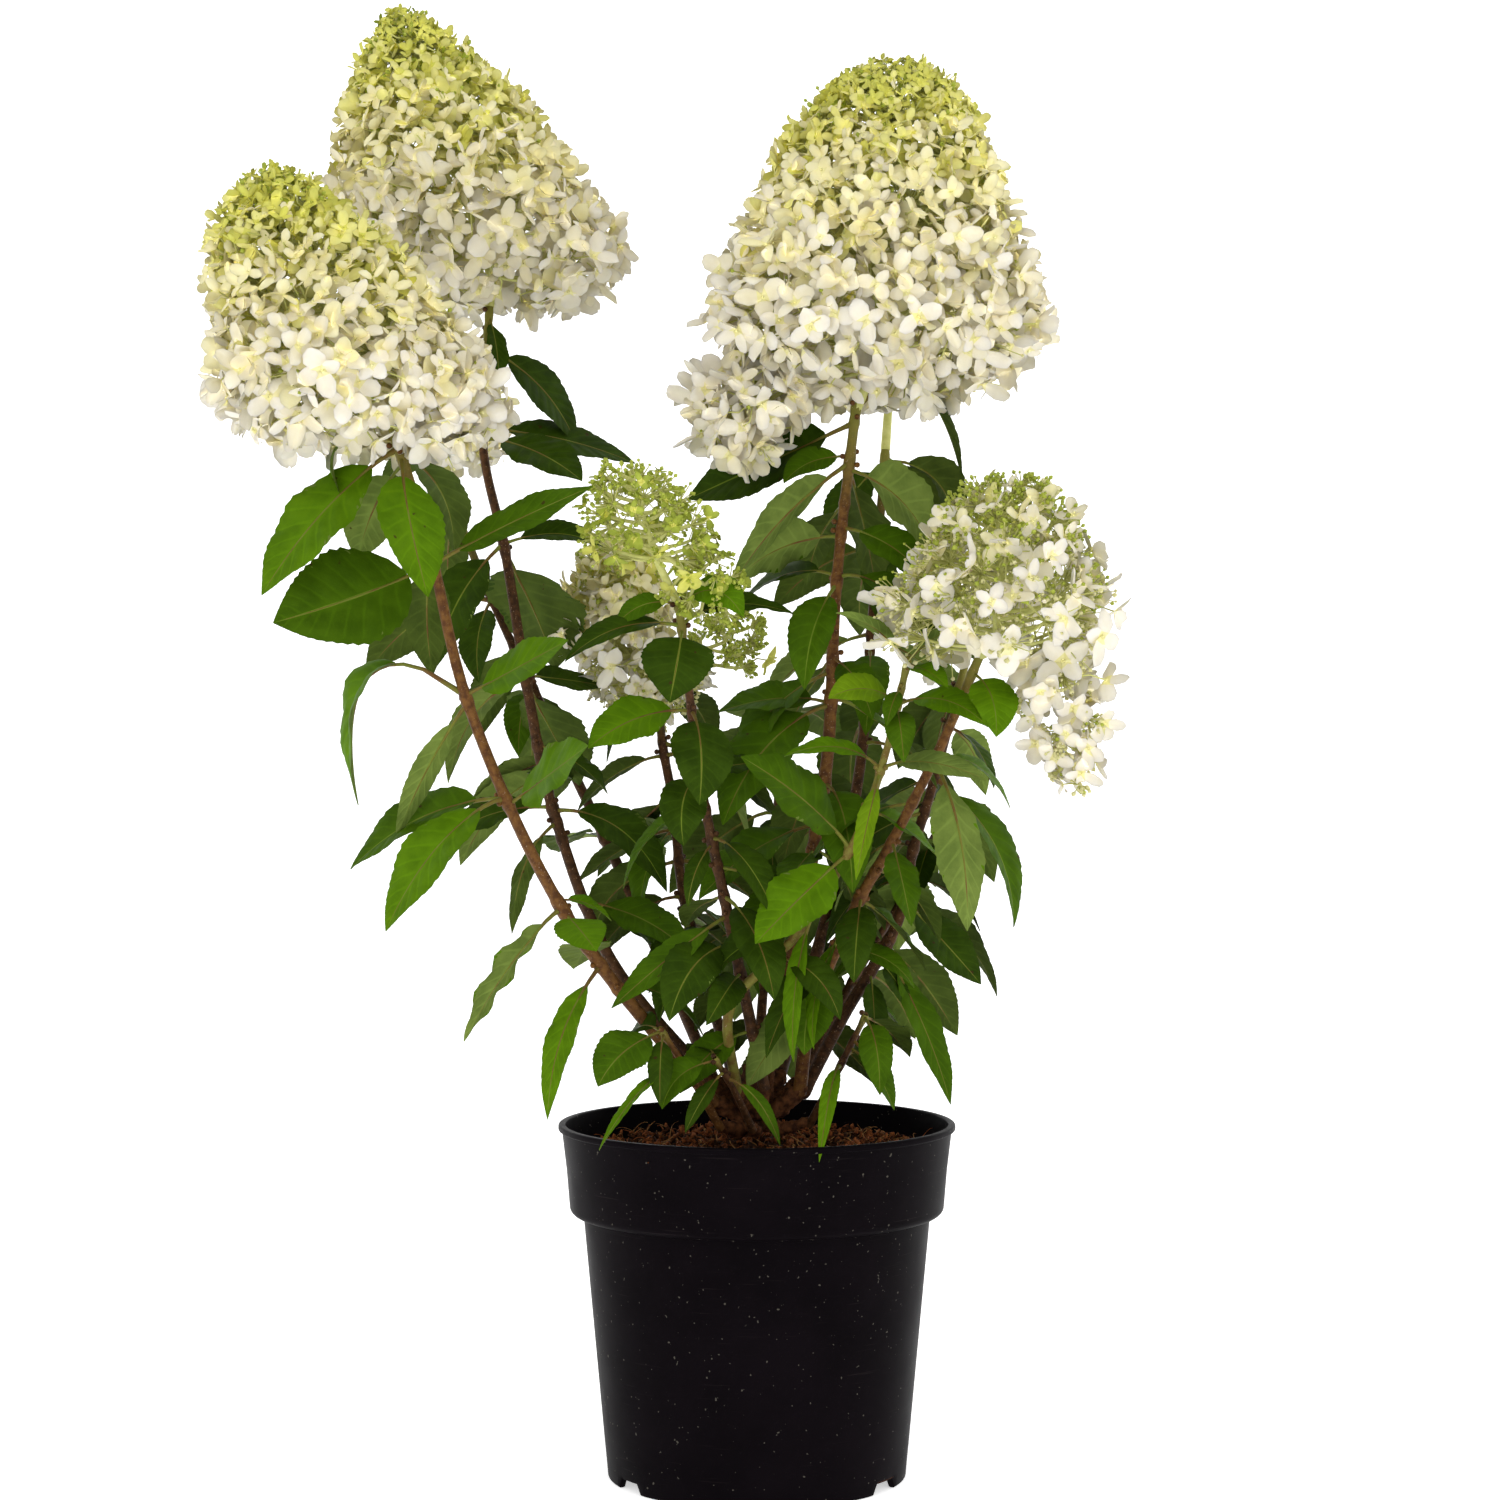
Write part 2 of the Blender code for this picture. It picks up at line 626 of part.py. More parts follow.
def foot_notch(heading):
    """A block that cuts one notch out of the pot's foot."""
    angle = math.radians(heading)
    cutter = bmesh.new()
    bmesh.ops.create_cube(cutter, size=1)
    size = Matrix.Diagonal((NOTCH_DEPTH, NOTCH_WIDTH, 2 * (FOOT_HEIGHT - DRAFT), 1))
    centre = Vector((math.cos(angle), math.sin(angle), 0)) * (BODY_FOOT_RADIUS - FOOT_WIDTH)
    cutter.transform(Matrix.Translation(centre) @ Matrix.Rotation(angle, 4, "Z") @ size)
    mesh = bpy.data.meshes.new("foot_notch")
    cutter.to_mesh(mesh)
    cutter.free()
    item = add_object(f"foot_notch_{heading}", mesh)
    item.hide_render = True
    item.display_type = "WIRE"
    return item


def build_pot(material):
    item = add_object("pot", turned_solid("pot", pot_profile(), POT_SIDES), material)
    for heading in NOTCH_HEADINGS:
        cut = item.modifiers.new(f"notch_{heading}", "BOOLEAN")
        cut.operation = "DIFFERENCE"
        cut.solver = "EXACT"
        cut.object = foot_notch(heading)
    item.data.shade_smooth()
    item.data.set_sharp_from_angle(angle=SMOOTH_ANGLE)
    return item


def build_compost(material):
    """The root ball: it follows the pot's wall a gap inside it, under a lumpy surface."""
    rng = random.Random(COMPOST_SEED)
    inset = WALL + 2 * GAP
    angles = [math.tau * side / POT_SIDES for side in range(POT_SIDES)]

    def level_ring(radius, height, lump=0.0):
        ring = [Vector((math.cos(angle), math.sin(angle), 0)) * radius for angle in angles]
        return [point + UP * (height + rng.uniform(-lump, lump)) for point in ring]

    floor = FOOT_HEIGHT + WALL + GAP
    collar_foot = POT_HEIGHT - COLLAR_HEIGHT
    shoulder = COLLAR_RADIUS - COMPOST_NARROWING - inset
    edge = shoulder + EDGE
    rings = [
        level_ring(body_radius(floor) - inset - EDGE, floor),
        level_ring(BODY_TOP_RADIUS - inset, collar_foot),
        level_ring(shoulder, collar_foot + COMPOST_SHOULDER),
        level_ring(edge, COMPOST_LEVEL - COMPOST_EDGE_DROP, COMPOST_LUMP / 2),
    ]
    for ring in range(COMPOST_RINGS):
        share = ring / COMPOST_RINGS
        radius = edge * (1 - share) + COMPOST_FLAT_RADIUS * share - COMPOST_NARROWING
        rings.append(level_ring(radius, COMPOST_LEVEL - COMPOST_LUMP, COMPOST_LUMP))
    rings.append(level_ring(COMPOST_FLAT_RADIUS, COMPOST_LEVEL))
    return add_object("compost", mesh_from("compost", *loft(rings)), material)


def crown_body():
    """The swollen base: lumpy rings from a flat cut on the compost to a rough top."""
    rng = random.Random(CROWN_SEED)
    base = COMPOST_LEVEL + GAP
    rings = []
    for share, fullness in CROWN_PROFILE:
        height = base + (CROWN_TOP - base) * share
        ring = circle(Vector((0, 0, height)), UP, CROWN_RADIUS * fullness, CROWN_SIDES)
        for point in ring:
            point.x *= rng.uniform(*CROWN_ROUGHNESS)
            point.y *= rng.uniform(*CROWN_ROUGHNESS)
        rings.append(ring)
    return mesh_from("crown", *loft(rings))


def stub_mesh(start, end, end_direction, start_radius, end_radius):
    """A short limb inside the crown that ends square, where its stem begins."""
    direction = (end - start).normalized()
    rings = [
        circle(start, direction, start_radius, SHOOT_SIDES),
        circle(end, end_direction, end_radius, SHOOT_SIDES),
    ]
    return mesh_from("stub", *loft(rings))


def build_crown(material):
    heart = Vector((0, 0, CROWN_TOP - HEART_DEPTH))
    low_heart = Vector((0, 0, COMPOST_LEVEL + LOW_HEART_HEIGHT))
    stubs = []
    for name, shoot in SHOOTS.items():
        curve = shoot_curve(name)
        direction = curve.direction(0)
        end = curve.point(0) - direction * GAP
        start = low_heart if shoot["bare"] == 0 else heart
        inner = start + Vector((end.x, end.y, 0)) * STUB_ROOT_SHARE
        radius = stem_radius(shoot, 0)
        stubs.append(stub_mesh(inner, end, direction, radius * STUB_FLARE, radius * STUB_FIT))
    for heading, height, radius in OLD_STUBS:
        angle = math.radians(heading)
        lean = Vector((math.cos(angle), math.sin(angle), 0)) * radius * MM
        top = Vector((0, 0, COMPOST_LEVEL + height * MM)) + lean
        root = heart + lean * STUB_ROOT_SHARE
        stubs.append(stub_mesh(root, top, UP, OLD_STUB_RADIUS, OLD_STUB_RADIUS * OLD_STUB_TAPER))
    return fuse("crown", crown_body(), stubs, material)


def build_bough(name, material):
    shoot = SHOOTS[name]
    curve = shoot_curve(name)
    rings = max(LEAST_RINGS, round(curve.length * shoot["bare"] / BOUGH_RING_STEP))
    mesh = stem_solid(f"bough_{name}", shoot, curve, 0, shoot["bare"], STEM_SIDES, rings)
    return add_object(f"bough_{name}", mesh, material)


def build_leafy_shoot(name, neighbours, material):
    """The upper stem with its leaves fused on; a leaf that would touch a neighbour is skipped."""
    shoot = SHOOTS[name]
    curve = shoot_curve(name)
    start = shoot["bare"] + (GAP / curve.length if shoot["bare"] else 0)
    rings = max(LEAST_RINGS, round(curve.length * (1 - start) / SHOOT_RING_STEP))
    stem = stem_solid("stem", shoot, curve, start, 1, SHOOT_SIDES, rings)
    leaves = []
    for index, (share, heading, hang, length) in enumerate(LEAVES[name]):
        root = curve.point(share)
        if touches(*loft(leaf_rings(root, heading, hang, length * MM, CLEARANCE)), neighbours):
            print(f"{name}: leaf {index} at {share} heading {heading} is skipped")
            continue
        leaves.append(mesh_from("leaf", *loft(leaf_rings(root, heading, hang, length * MM))))
    return fuse(f"leaves_{name}", stem, leaves, material)


def bloom_fullness(height, bluntness):
    """Radius of a panicle as a share of its widest, from its underside (below 0) to its apex (1)."""
    if height < BLOOM_WIDEST:
        share = (BLOOM_WIDEST - height) / (BLOOM_WIDEST + BLOOM_UNDERSIDE)
        return math.sqrt(max(0.0, 1 - share**2))
    share = (height - BLOOM_WIDEST) / (1 - BLOOM_WIDEST)
    return max(0.0, 1 - share**BLOOM_SHOULDER) ** bluntness


class Cone:
    """One cone of a bloom: its axis, its lumpy skin and the places of its florets."""

    LEVELS = 80

    def __init__(self, base, apex, radius, bluntness, seed):
        self.base = Vector(base) * MM
        self.apex = Vector(apex) * MM
        self.radius = radius * MM
        self.bluntness = bluntness
        self.axis = (self.apex - self.base).normalized()
        self.length = (self.apex - self.base).length
        self.across = DEPTH.cross(self.axis).normalized()
        self.other = self.axis.cross(self.across)
        rng = random.Random(seed)
        self.phases = [rng.uniform(0, math.tau) for _ in range(2)]

    def lump(self, height, angle):
        first, second = self.phases
        threes = math.sin(3 * angle + first + 5 * height)
        pairs = math.sin(2 * angle + second - 9 * height)
        return LUMP_THREES * threes + LUMP_PAIRS * pairs

    def fullness(self, height):
        return bloom_fullness(height, self.bluntness)

    def point(self, height, angle, setback=0.0):
        reach = self.radius * self.fullness(height) * (1 + self.lump(height, angle)) - setback
        outward = math.cos(angle) * self.across + math.sin(angle) * self.other
        return self.base + self.axis * self.length * height + outward * max(reach, 0)

    def normal(self, height, angle):
        outward = math.cos(angle) * self.across + math.sin(angle) * self.other
        below = self.fullness(height - NORMAL_STEP)
        above = self.fullness(height + NORMAL_STEP)
        rise = 2 * NORMAL_STEP * self.length
        return (outward * rise + self.axis * (below - above) * self.radius).normalized()

    def places(self, count):
        """Heights and angles of florets, spread evenly over the skin."""
        heights = np.linspace(LOWEST_PLACE, HIGHEST_PLACE, self.LEVELS)
        area = np.cumsum([self.fullness(height) for height in heights])
        for index in range(count):
            target = (index + 0.5) / count * area[-1]
            yield float(np.interp(target, area, heights)), index * GOLDEN_ANGLE


def core_solid(cone, thin):
    rings = []
    for level in CORE_LEVELS:
        angles = [math.tau * side / CORE_SIDES for side in range(CORE_SIDES)]
        skin = [cone.point(level, angle, CORE_SETBACK) for angle in angles]
        middle = cone.base + cone.axis * cone.length * level
        rings.append([middle.lerp(point, thin) for point in skin])
    rings.append([cone.base + cone.axis * (cone.length * CORE_TIP - CORE_SETBACK)])
    return mesh_from("core", *loft(rings))


def floret_shape(centre, normal, spin, radius, depth):
    """Four lobes round a centre, over a root that reaches down into the core."""
    reference = UP if abs(normal.dot(UP)) < 0.8 else DEPTH
    across = reference.cross(normal).normalized()
    other = normal.cross(across)
    rim = []
    for corner in range(FLORET_CORNERS):
        angle = spin + math.tau * corner / FLORET_CORNERS
        lobe = corner % 2 == 0
        reach = radius * (1 if lobe else FLORET_VALLEY)
        lift = radius * (FLORET_DISH if lobe else -FLORET_DISH / 2)
        outward = math.cos(angle) * across + math.sin(angle) * other
        rim.append(centre + outward * reach + normal * lift)
    return loft([[centre - normal * depth], rim, [centre]])


def stalk_shape(start, end, radius):
    direction = (end - start).normalized()
    return loft([
        circle(start, direction, radius, TWIG_SIDES),
        circle(end, direction, radius * STALK_TAPER, TWIG_SIDES),
    ])


def cone_parts(spec, cone, count, neighbours, rng):
    """The core of a cone and its florets; one that would touch a neighbour is skipped."""
    parts = [core_solid(cone, OPEN_CORE if spec["open"] else 1.0)]
    depth = STALKED_FLORET_ROOT if spec["open"] else FLORET_ROOT
    for height, angle in cone.places(count):
        centre = cone.point(height, angle, FLORET_SINK)
        normal = (cone.normal(height, angle) + cone.axis * FLORET_LIFT).normalized()
        radius = spec["floret"] * MM * rng.uniform(*FLORET_SPREAD)
        spin = rng.uniform(0, math.pi / 2)
        root = cone.base + cone.axis * cone.length * max(LOWEST_STALK, height - STALK_RISE)
        joint = centre - normal * FLORET_SINK
        space = floret_shape(centre + normal * CLEARANCE, normal, spin, radius + CLEARANCE, depth)
        stalk_space = stalk_shape(root, joint, STALK_RADIUS + CLEARANCE)
        if touches(*space, neighbours) or touches(*stalk_space, neighbours):
            print(f"floret of {spec['shoot']} at {height:.2f} is skipped")
            continue
        parts.append(mesh_from("floret", *floret_shape(centre, normal, spin, radius, depth)))
        if spec["open"]:
            parts.append(mesh_from("stalk", *stalk_shape(root, joint, STALK_RADIUS)))
    return parts


def rachis_solid(cone, start, direction, radius):
    """The bloom's stalk, from a square end on the shoot's tip into the core."""
    middle_taper, end_taper = RACHIS_TAPER
    end = cone.base + cone.axis * cone.length * RACHIS_REACH
    bend = (cone.axis + direction).normalized()
    return mesh_from("rachis", *loft([
        circle(start, direction, radius, SHOOT_SIDES),
        circle(cone.base, bend, radius * middle_taper, SHOOT_SIDES),
        circle(end, cone.axis, radius * end_taper, SHOOT_SIDES),
    ]))


def build_bloom(name, neighbours, material):
    """A panicle: its rachis meets the tip of the leafy stem, and core and florets are fused to it."""
    spec = BLOOMS[name]
    shoot = SHOOTS[spec["shoot"]]
    curve = shoot_curve(spec["shoot"])
    start = curve.point(1) + curve.direction(1) * GAP
    rng = random.Random(len(name) + int(spec["cones"][0][2]))
    cones = []
    parts = []
    for number, (base, apex, radius, count) in enumerate(spec["cones"]):
        cone = Cone(base, apex, radius, spec["bluntness"], number + count)
        cones.append(cone)
        parts += cone_parts(spec, cone, count, neighbours, rng)
    main = cones[0]
    side_root = main.base + main.axis * SIDE_STALK_ROOT
    for cone in cones[1:]:
        side_end = cone.base + cone.axis * SIDE_STALK_END
        parts.append(mesh_from("stalk", *stalk_shape(side_root, side_end, SIDE_STALK_RADIUS)))
    rachis = rachis_solid(main, start, curve.direction(1), stem_radius(shoot, 1))
    return fuse(f"bloom_{name}", rachis, parts, material)


def stem_tree(name):
    """The space of a whole stem, so that no leaf crosses a stem that is built after it."""
    curve = shoot_curve(name)
    rings = max(LEAST_RINGS, round(curve.length / SHOOT_RING_STEP))
    mesh = stem_solid("space", SHOOTS[name], curve, 0, 1, SHOOT_SIDES, rings)
    tree = mesh_tree(mesh)
    bpy.data.meshes.remove(mesh)
    return tree


def core_trees(name):
    """The space of a bloom's cores, so that no leaf is inside a bloom."""
    trees = []
    spec = BLOOMS[name]
    for number, (base, apex, radius, count) in enumerate(spec["cones"]):
        cone = Cone(base, apex, radius, spec["bluntness"], number + count)
        mesh = core_solid(cone, OPEN_CORE if spec["open"] else 1.0)
        trees.append(mesh_tree(mesh))
        bpy.data.meshes.remove(mesh)
    return trees


def main():
    clear_scene()
    materials = {name: make_material(name) for name in COLOURS}
    items = [
        build_pot(materials["pot"]),
        build_compost(materials["compost"]),
        build_crown(materials["wood"]),
    ]
    boughs = [name for name, shoot in SHOOTS.items() if shoot["bare"] > 0]
    items += [build_bough(name, materials["stem"]) for name in boughs]
    trees = [object_tree(item) for item in items]
    stems = {name: stem_tree(name) for name in SHOOTS}
    hearts = [tree for name in BLOOMS for tree in core_trees(name)]
    for name in SHOOTS:
        others = [tree for other, tree in stems.items() if other != name]
        item = build_leafy_shoot(name, trees + others + hearts, materials["leaf"])
        items.append(item)
        trees.append(object_tree(item))
    for name in BLOOMS:
        item = build_bloom(name, trees, materials["bloom"])
        items.append(item)
        trees.append(object_tree(item))


main()
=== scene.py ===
"""The looks of a potted panicle hydrangea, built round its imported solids.

Metres, Z up, -Y is the front. The tables hold millimetres and degrees, where a heading of 0 points
right, 90 to the back, 180 left and 270 to the front. The shoots are those of the part's source, and
so are most leaves, though many are fitted closer to the photograph and smaller ones fill the gaps.
"""

import math
from collections import namedtuple

import bpy
import numpy as np
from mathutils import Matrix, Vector, noise


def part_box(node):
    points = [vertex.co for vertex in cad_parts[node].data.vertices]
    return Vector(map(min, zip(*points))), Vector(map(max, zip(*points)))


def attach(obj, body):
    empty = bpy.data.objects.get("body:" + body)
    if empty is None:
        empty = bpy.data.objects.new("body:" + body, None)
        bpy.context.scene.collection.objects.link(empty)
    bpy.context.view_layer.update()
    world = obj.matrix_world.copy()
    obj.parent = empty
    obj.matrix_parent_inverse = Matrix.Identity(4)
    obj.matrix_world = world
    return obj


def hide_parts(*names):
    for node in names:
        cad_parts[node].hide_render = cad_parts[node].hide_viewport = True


MM = 0.001
UP = np.array((0.0, 0.0, 1.0))
DEPTH = np.array((0.0, 1.0, 0.0))
CURVE_STEPS = 16
DIRECTION_REACH = 0.02
BALL_LEVELS = np.array((-0.98, -0.55, 0.2, 0.75, 0.98))
SMALL_BALL_LEVELS = np.array((-0.97, 0.05, 0.97))
GOLDEN_ANGLE = math.radians(137.5)

# Camera, 1.85 m in front of the pot's axis and a little above the plant's middle
CAMERA_PLACE = (-0.004, -1.85, 0.440)
CAMERA_DIP = 0.62
CAMERA_LENS = 76.6
CAMERA_SENSOR = 36

# Studio: a sweep of white paper in a pale surround, and soft lights, each with its place, the point
# that it faces, its size and its power in watts
SWEEP_HALF_WIDTH = 9.0
SWEEP_FRONT = -8.0
SWEEP_BACK = 6.0
SWEEP_TOP = 7.0
SWEEP_BEND = 1.5
SWEEP_WHITE = (0.93, 0.93, 0.93)
SWEEP_GLOW = 0.55
SURROUND = 0.86
LIGHTS = {
    "key": ((-1.2, -2.0, 1.5), (0, 0, 0.5), 1.8, 6),
    "fill": ((1.7, -1.5, 0.9), (0, 0, 0.4), 1.8, 6),
    "sky": ((0.0, 0.2, 2.6), (0, 0, 0.4), 1.8, 8),
}

# Pot, as in the part's source. It is a little out of round, by waves with their number, start and
# share of the radius.
POT_HEIGHT = 204 * MM
RIM_RADIUS = 115 * MM
RIM_LIP = 3.5 * MM
COLLAR_RADIUS = 109 * MM
COLLAR_HEIGHT = 52 * MM
COLLAR_CORNER = 4.5 * MM
COLLAR_TOP_RADIUS = RIM_RADIUS - 2.2 * MM
BODY_TOP_RADIUS = 100.5 * MM
BODY_FOOT_RADIUS = 87 * MM
WALL = 2 * MM
FOOT_HEIGHT = 7 * MM
FOOT_WIDTH = 3 * MM
CENTRE_PAD_RADIUS = 30 * MM
AXIS_GAP = 0.5 * MM
NOTCH_HEADINGS = (33, 147, 213, 327)
NOTCH_WIDTH = 23 * MM
NOTCH_EDGE = 1.8 * MM
NOTCH_HEIGHT = FOOT_HEIGHT - 0.8 * MM
EDGE_RADIUS = 0.9 * MM
STEP_RADIUS = 0.8 * MM
BRIM_RADIUS = 1.2 * MM
INNER_EDGE_RADIUS = 1.0 * MM
POT_WOBBLE = ((2, 0.6, 0.0012), (3, 0.0, 0.0008))
POT_SIDES = 160
POT_SHARP_ANGLE = 48

# Rough surfaces are layers of noise, each with its seed, grain, stretch along Z and height in
# millimetres
COMPOST_LUMPS = ((3.0, 90, 1, 3.2), (8.0, 330, 1, 1.3))
WOOD_LUMPS = ((5.0, 260, 0.35, 1.2), (1.0, 70, 1, 1.6))
NOISE_OCTAVES = (0.7, 2.1, 5)

# Compost, with the root ball's side as depths under the edge and shares of the radius there
COMPOST_LEVEL = POT_HEIGHT - 15 * MM
COMPOST_SIDES = 180
COMPOST_RINGS = 46
COMPOST_GAP = 0.4 * MM
COMPOST_SINK = 1.5 * MM
COMPOST_FALL = 3.0 * MM
COMPOST_EDGE_DROP = 4.5 * MM
ROOT_BALL_DEPTHS = np.array((0, 12, 40, 178)) * MM
ROOT_BALL_SHARES = np.array((1.0, 0.985, 0.93, 0.84))

# Litter on the compost, where sides, lifts, lengths and widths are drawn between two values in
# millimetres
LITTER_SEED = 21
LITTER_EDGE = 4 * MM
LITTER_START = 0.03
CHIP_COUNT = 900
CHIP_SIDES = ((2, 6), (1, 3), (0.5, 1.4))
CHIP_SCALE = 0.6
CHIP_LIFT = (-1, 2.5)
BOX_QUADS = np.array(((3, 2, 1, 0), (4, 5, 6, 7), (0, 1, 5, 4), (1, 2, 6, 5), (2, 3, 7, 6), (3, 0, 4, 7)))
PALE_CHIP_SHARE = 0.6
FIBRE_COUNT = 420
FIBRE_LENGTH = (5, 17)
FIBRE_WIDTH = (0.22, 0.5)
FIBRE_STEEPNESS = (0.05, 0.9)
FIBRE_INWARD = 0.4
FIBRE_SINK = 1 * MM
FIBRE_BEND = 0.4
FIBRE_RINGS = 6
PALE_FIBRE_SHARE = 0.45

# Woody crown, with heights above the compost in millimetres
CROWN_RADIUS = 22 * MM
CROWN_TOP = COMPOST_LEVEL + 36 * MM
CROWN_HEIGHTS = np.array((-6, 0, 6, 14, 24, 33, 37))
CROWN_SWELL = np.array((1.0, 0.95, 0.8, 0.64, 0.5, 0.36, 0.15))
CROWN_CAP_RADIUS = 9 * MM
CROWN_CAP_DEPTH = 10 * MM
CROWN_VOXEL = 1.1 * MM
CROWN_SIDES = 16
LIMB_ENDS = (-0.04, 0, 1, 1.02)
LIMB_RINGS = 8
LIMB_SIDES = 12
LIMB_END_SIDES = 10
LIMB_REACH = 3 * MM
LIMB_SPREAD = 0.3
LIMB_FOOT_SWELL = 1.3
LIMB_TIP_SWELL = 1.08
STUB_FOOT_SWELL = 1.4
STUB_SPREAD = 0.4
HEART_DEPTH = 16 * MM
LOW_HEART_HEIGHT = 11 * MM
MIDDLE_FOOT = np.array((6, -2, 0)) * MM
FOOT_RING_RADIUS = 28 * MM
BASAL_RING_RADIUS = 31 * MM
OLD_STUBS = ((250, 46, 14), (75, 50, 10))
OLD_STUB_RADIUS = 5 * MM

# Stems. Bark has waves, with their number round the stem, their drift along it and their share.
STEM_SIDES = 12
STEM_RING = 2.4 * MM
STEM_SLIMNESS = 0.86
NODE_SWELL = 0.2
NODE_LENGTH = 2.6 * MM
BARK_DEPTH = 0.07
BARK_GRIT = 0.25
BARK_WAVES = ((3, 0.021, 0.5), (5, -0.037, 0.35), (2, 0.05, 0.4))
SIDE_BUD_RADIUS = 1.7 * MM
SIDE_BUD_REACH = 1.5
GREEN_TOP = 0.82
GREEN_RISE = 0.16
GREEN_POWER = 1.5

# Leaves, with the ranges that their values are drawn from, in this order
PETIOLE_SHARE = 0.16
LEAF_WIDTH = 0.41
LEAF_ARCH = 0.13
LEAF_RANGES = dict(
    arch=(0.55, 1.35), skew=(0.8, 1.1), roll=(-16, 16), twist=(-24, 24), sway=(-0.06, 0.06),
    fold=(0.12, 0.5), ruffle=(0.02, 0.11), ruffles=(1.8, 3.2), width=(0.8, 1.06),
)
FACING_ROLL = 34
FRONT_DEPTH = 40 * MM
SECOND_TINT_SHARE = 0.4
SHADED_SHARE = 0.75
FILLED_SEED = 500
FILLED_TOP = 0.9
FILLED_STEP = (0.2, 0.8)
FILLED_START = 60
FILLED_TURN = (-20, 20)
FILLED_HANGS = (25, 55)
FILLED_LENGTHS = (62, 88)
VEIN_PAIRS = 9
ROWS_PER_VEIN = 4
BLADE_ROWS = VEIN_PAIRS * ROWS_PER_VEIN + 1
BLADE_START = 0.006
BLADE_REACH = 0.988
BLADE_ENDS = (0.004, 0.996)
VEIN_SWEEP = 0.2
VEIN_BEND = 0.85
EDGE_VEIN = 0.3
RIB_WIDTH = 0.1
BLADE_COLUMNS = np.array((-1.0, -0.8, -0.46, -0.032, 0.032, 0.46, 0.8, 1.0))
BLADE_BASE_POWER = 0.72
BLADE_TIP_POWER = 0.98
TOOTH_HEIGHT = 0.06
TOOTH_LEAN = 0.35
TOOTH_FADE = 0.3
QUILT_HEIGHT = 0.009
QUILT_FADE = 0.4
RIB_DEPTH = 0.005
BLADE_THICKNESS = 0.5 * MM
BLADE_THINNING = 0.92
FOLD_BEND = 0.55
FOLD_NARROWING = 0.6
TYPICAL_LEAF = 0.085
PETIOLE_END = 0.93
PETIOLE_MERGE = 0.1
PETIOLE_RINGS = 15
PETIOLE_SIDES = 6
PETIOLE_SHARES = (0, 0.03, 0.12, 0.3, PETIOLE_END)
PETIOLE_RADII = np.array((1.8, 1.25, 1.1, 0.75, 0.25))

# Cones of a bloom. Their lumps are waves, with their number, their turn with height and their depth.
BLOOM_SEED = 100
UPRIGHT = 0.8
BLOOM_WIDEST = 0.16
BLOOM_UNDERSIDE = 0.12
BLOOM_SHOULDER = 1.25
BLOOM_LUMPS = ((3, 5, 0.06), (2, -9, 0.05))

# Florets, with the depth of each layer under the skin in millimetres, its share of the bloom's cover,
# the turn of its first floret in radians, and how much yellower its petals are. That yellowing is
# partly the inner florets' own greener tone and partly painted warm shade between the petals.
FLORET_LAYERS = ((0, 1.0, 0.0, 0.0), (6, 0.8, 1.1, 0.26))
FLORET_SINK = 0.25
FLORET_SCATTER = (-0.5, 0.5)
FLORET_TINT_SPREAD = 0.08
FLORET_CROWDING = 0.62
FLORET_SHRINK = 1.3
FLORET_LEAN = 0.68
FLORET_RISE = 0.1
FLORET_SIZES = (0.76, 1.12)
FLORET_HEIGHTS = (-0.1, 0.985)
FLORET_STEPS = 160
SMALL_FLORET = 6.5 * MM
PETAL_LENGTHS = (0.84, 1.14)
PETAL_WIDTHS = (0.64, 0.94)
PETAL_TURN = (-0.24, 0.24)
PETAL_TILT = (-0.32, 0.32)
PETAL_CUP = (-0.3, 1.0)
PETAL_CURL = (0, 0.3)
PETAL_WAVE = (-0.06, 0.06)
PETAL_ROUNDNESS = 1.12
PETAL_TAPER = 1.05
PETAL_BLUNTNESS = 0.05
PETAL_RIPPLES = 3.3
PETAL_DISH = 0.7
PETAL_ROWS = np.array((0.02, 0.2, 0.54, 0.85, 0.99))
PETAL_COLUMNS = np.linspace(-1, 1, 4)
SMALL_PETAL_ROWS = np.array((0.02, 0.3, 0.76, 0.99))
SMALL_PETAL_COLUMNS = np.linspace(-1, 1, 3)
PETAL_LIFT = 0.4 * MM
HEART_LIFT = 0.6 * MM
HEART_SHARE = 0.09
LIME_HEART = 0.74

# Stalks and buds of a bloom. Each stalk has its radius at foot and tip in millimetres, its sides,
# its rings and its bend.
STALKS = {
    "branch": (1.3, 0.9, 5, 5, 0.4), "side": (1.8, 0.9, 6, 6, 0.3), "floret": (0.7, 0.5, 3, 3, 0.45),
    "bud": (0.5, 0.35, 3, 2, 0),
}
RACHIS_HEIGHTS = np.array((0.1, 0.4, 0.7, 0.94))
RACHIS_RINGS = 24
RACHIS_TIP = 0.3
SIDE_START = 8 * MM
SIDE_END = 0.6
BRANCH_HEIGHTS = (-0.02, 0.93)
BRANCH_DROP = 0.1
BRANCH_INSETS = (0.28, 0.42)
LEAST_BRANCHES = 5
BUD_RADII = (0.9, 1.7)
BUD_FAN = 0.6
BUD_REACH = (0.4, 1.0)
BUD_SPREAD = (1, 5)
BUD_TINT_SPREAD = 0.2
LIME_BUD = 0.3

# Materials, with their patches: the grain of a noise, the values of it between which they rise, and
# how strong they are at most
SPECULAR = {"leaf": 0.035, "petal": 0.03, "pot": 0.015}
OTHER_SPECULAR = 0.12
MOTTLE_RANGE = (0.38, 0.62)
MOTTLE_DETAIL = 5
MOTTLE_ROUGHNESS = 0.6
GRAIN_FINENESS = 12
GRAIN_DETAIL = 4
GRAIN_RELIEF = 0.4 * MM
PETAL_GLOW = 0.8
PETAL_GLOW_TINT = (1.0, 0.9, 0.5)
PETAL_GLOW_REACH = 5 * MM
VEIN_START = 0.55
TOP_VEINS = 0.22
UNDERSIDES = ("leaf_under", "leaf_shadow")
UNDERSIDE_VEINS = 0.24
VEIN_PALENESS = 1.8
SPOT_COLOUR = (0.045, 0.022, 0.008)
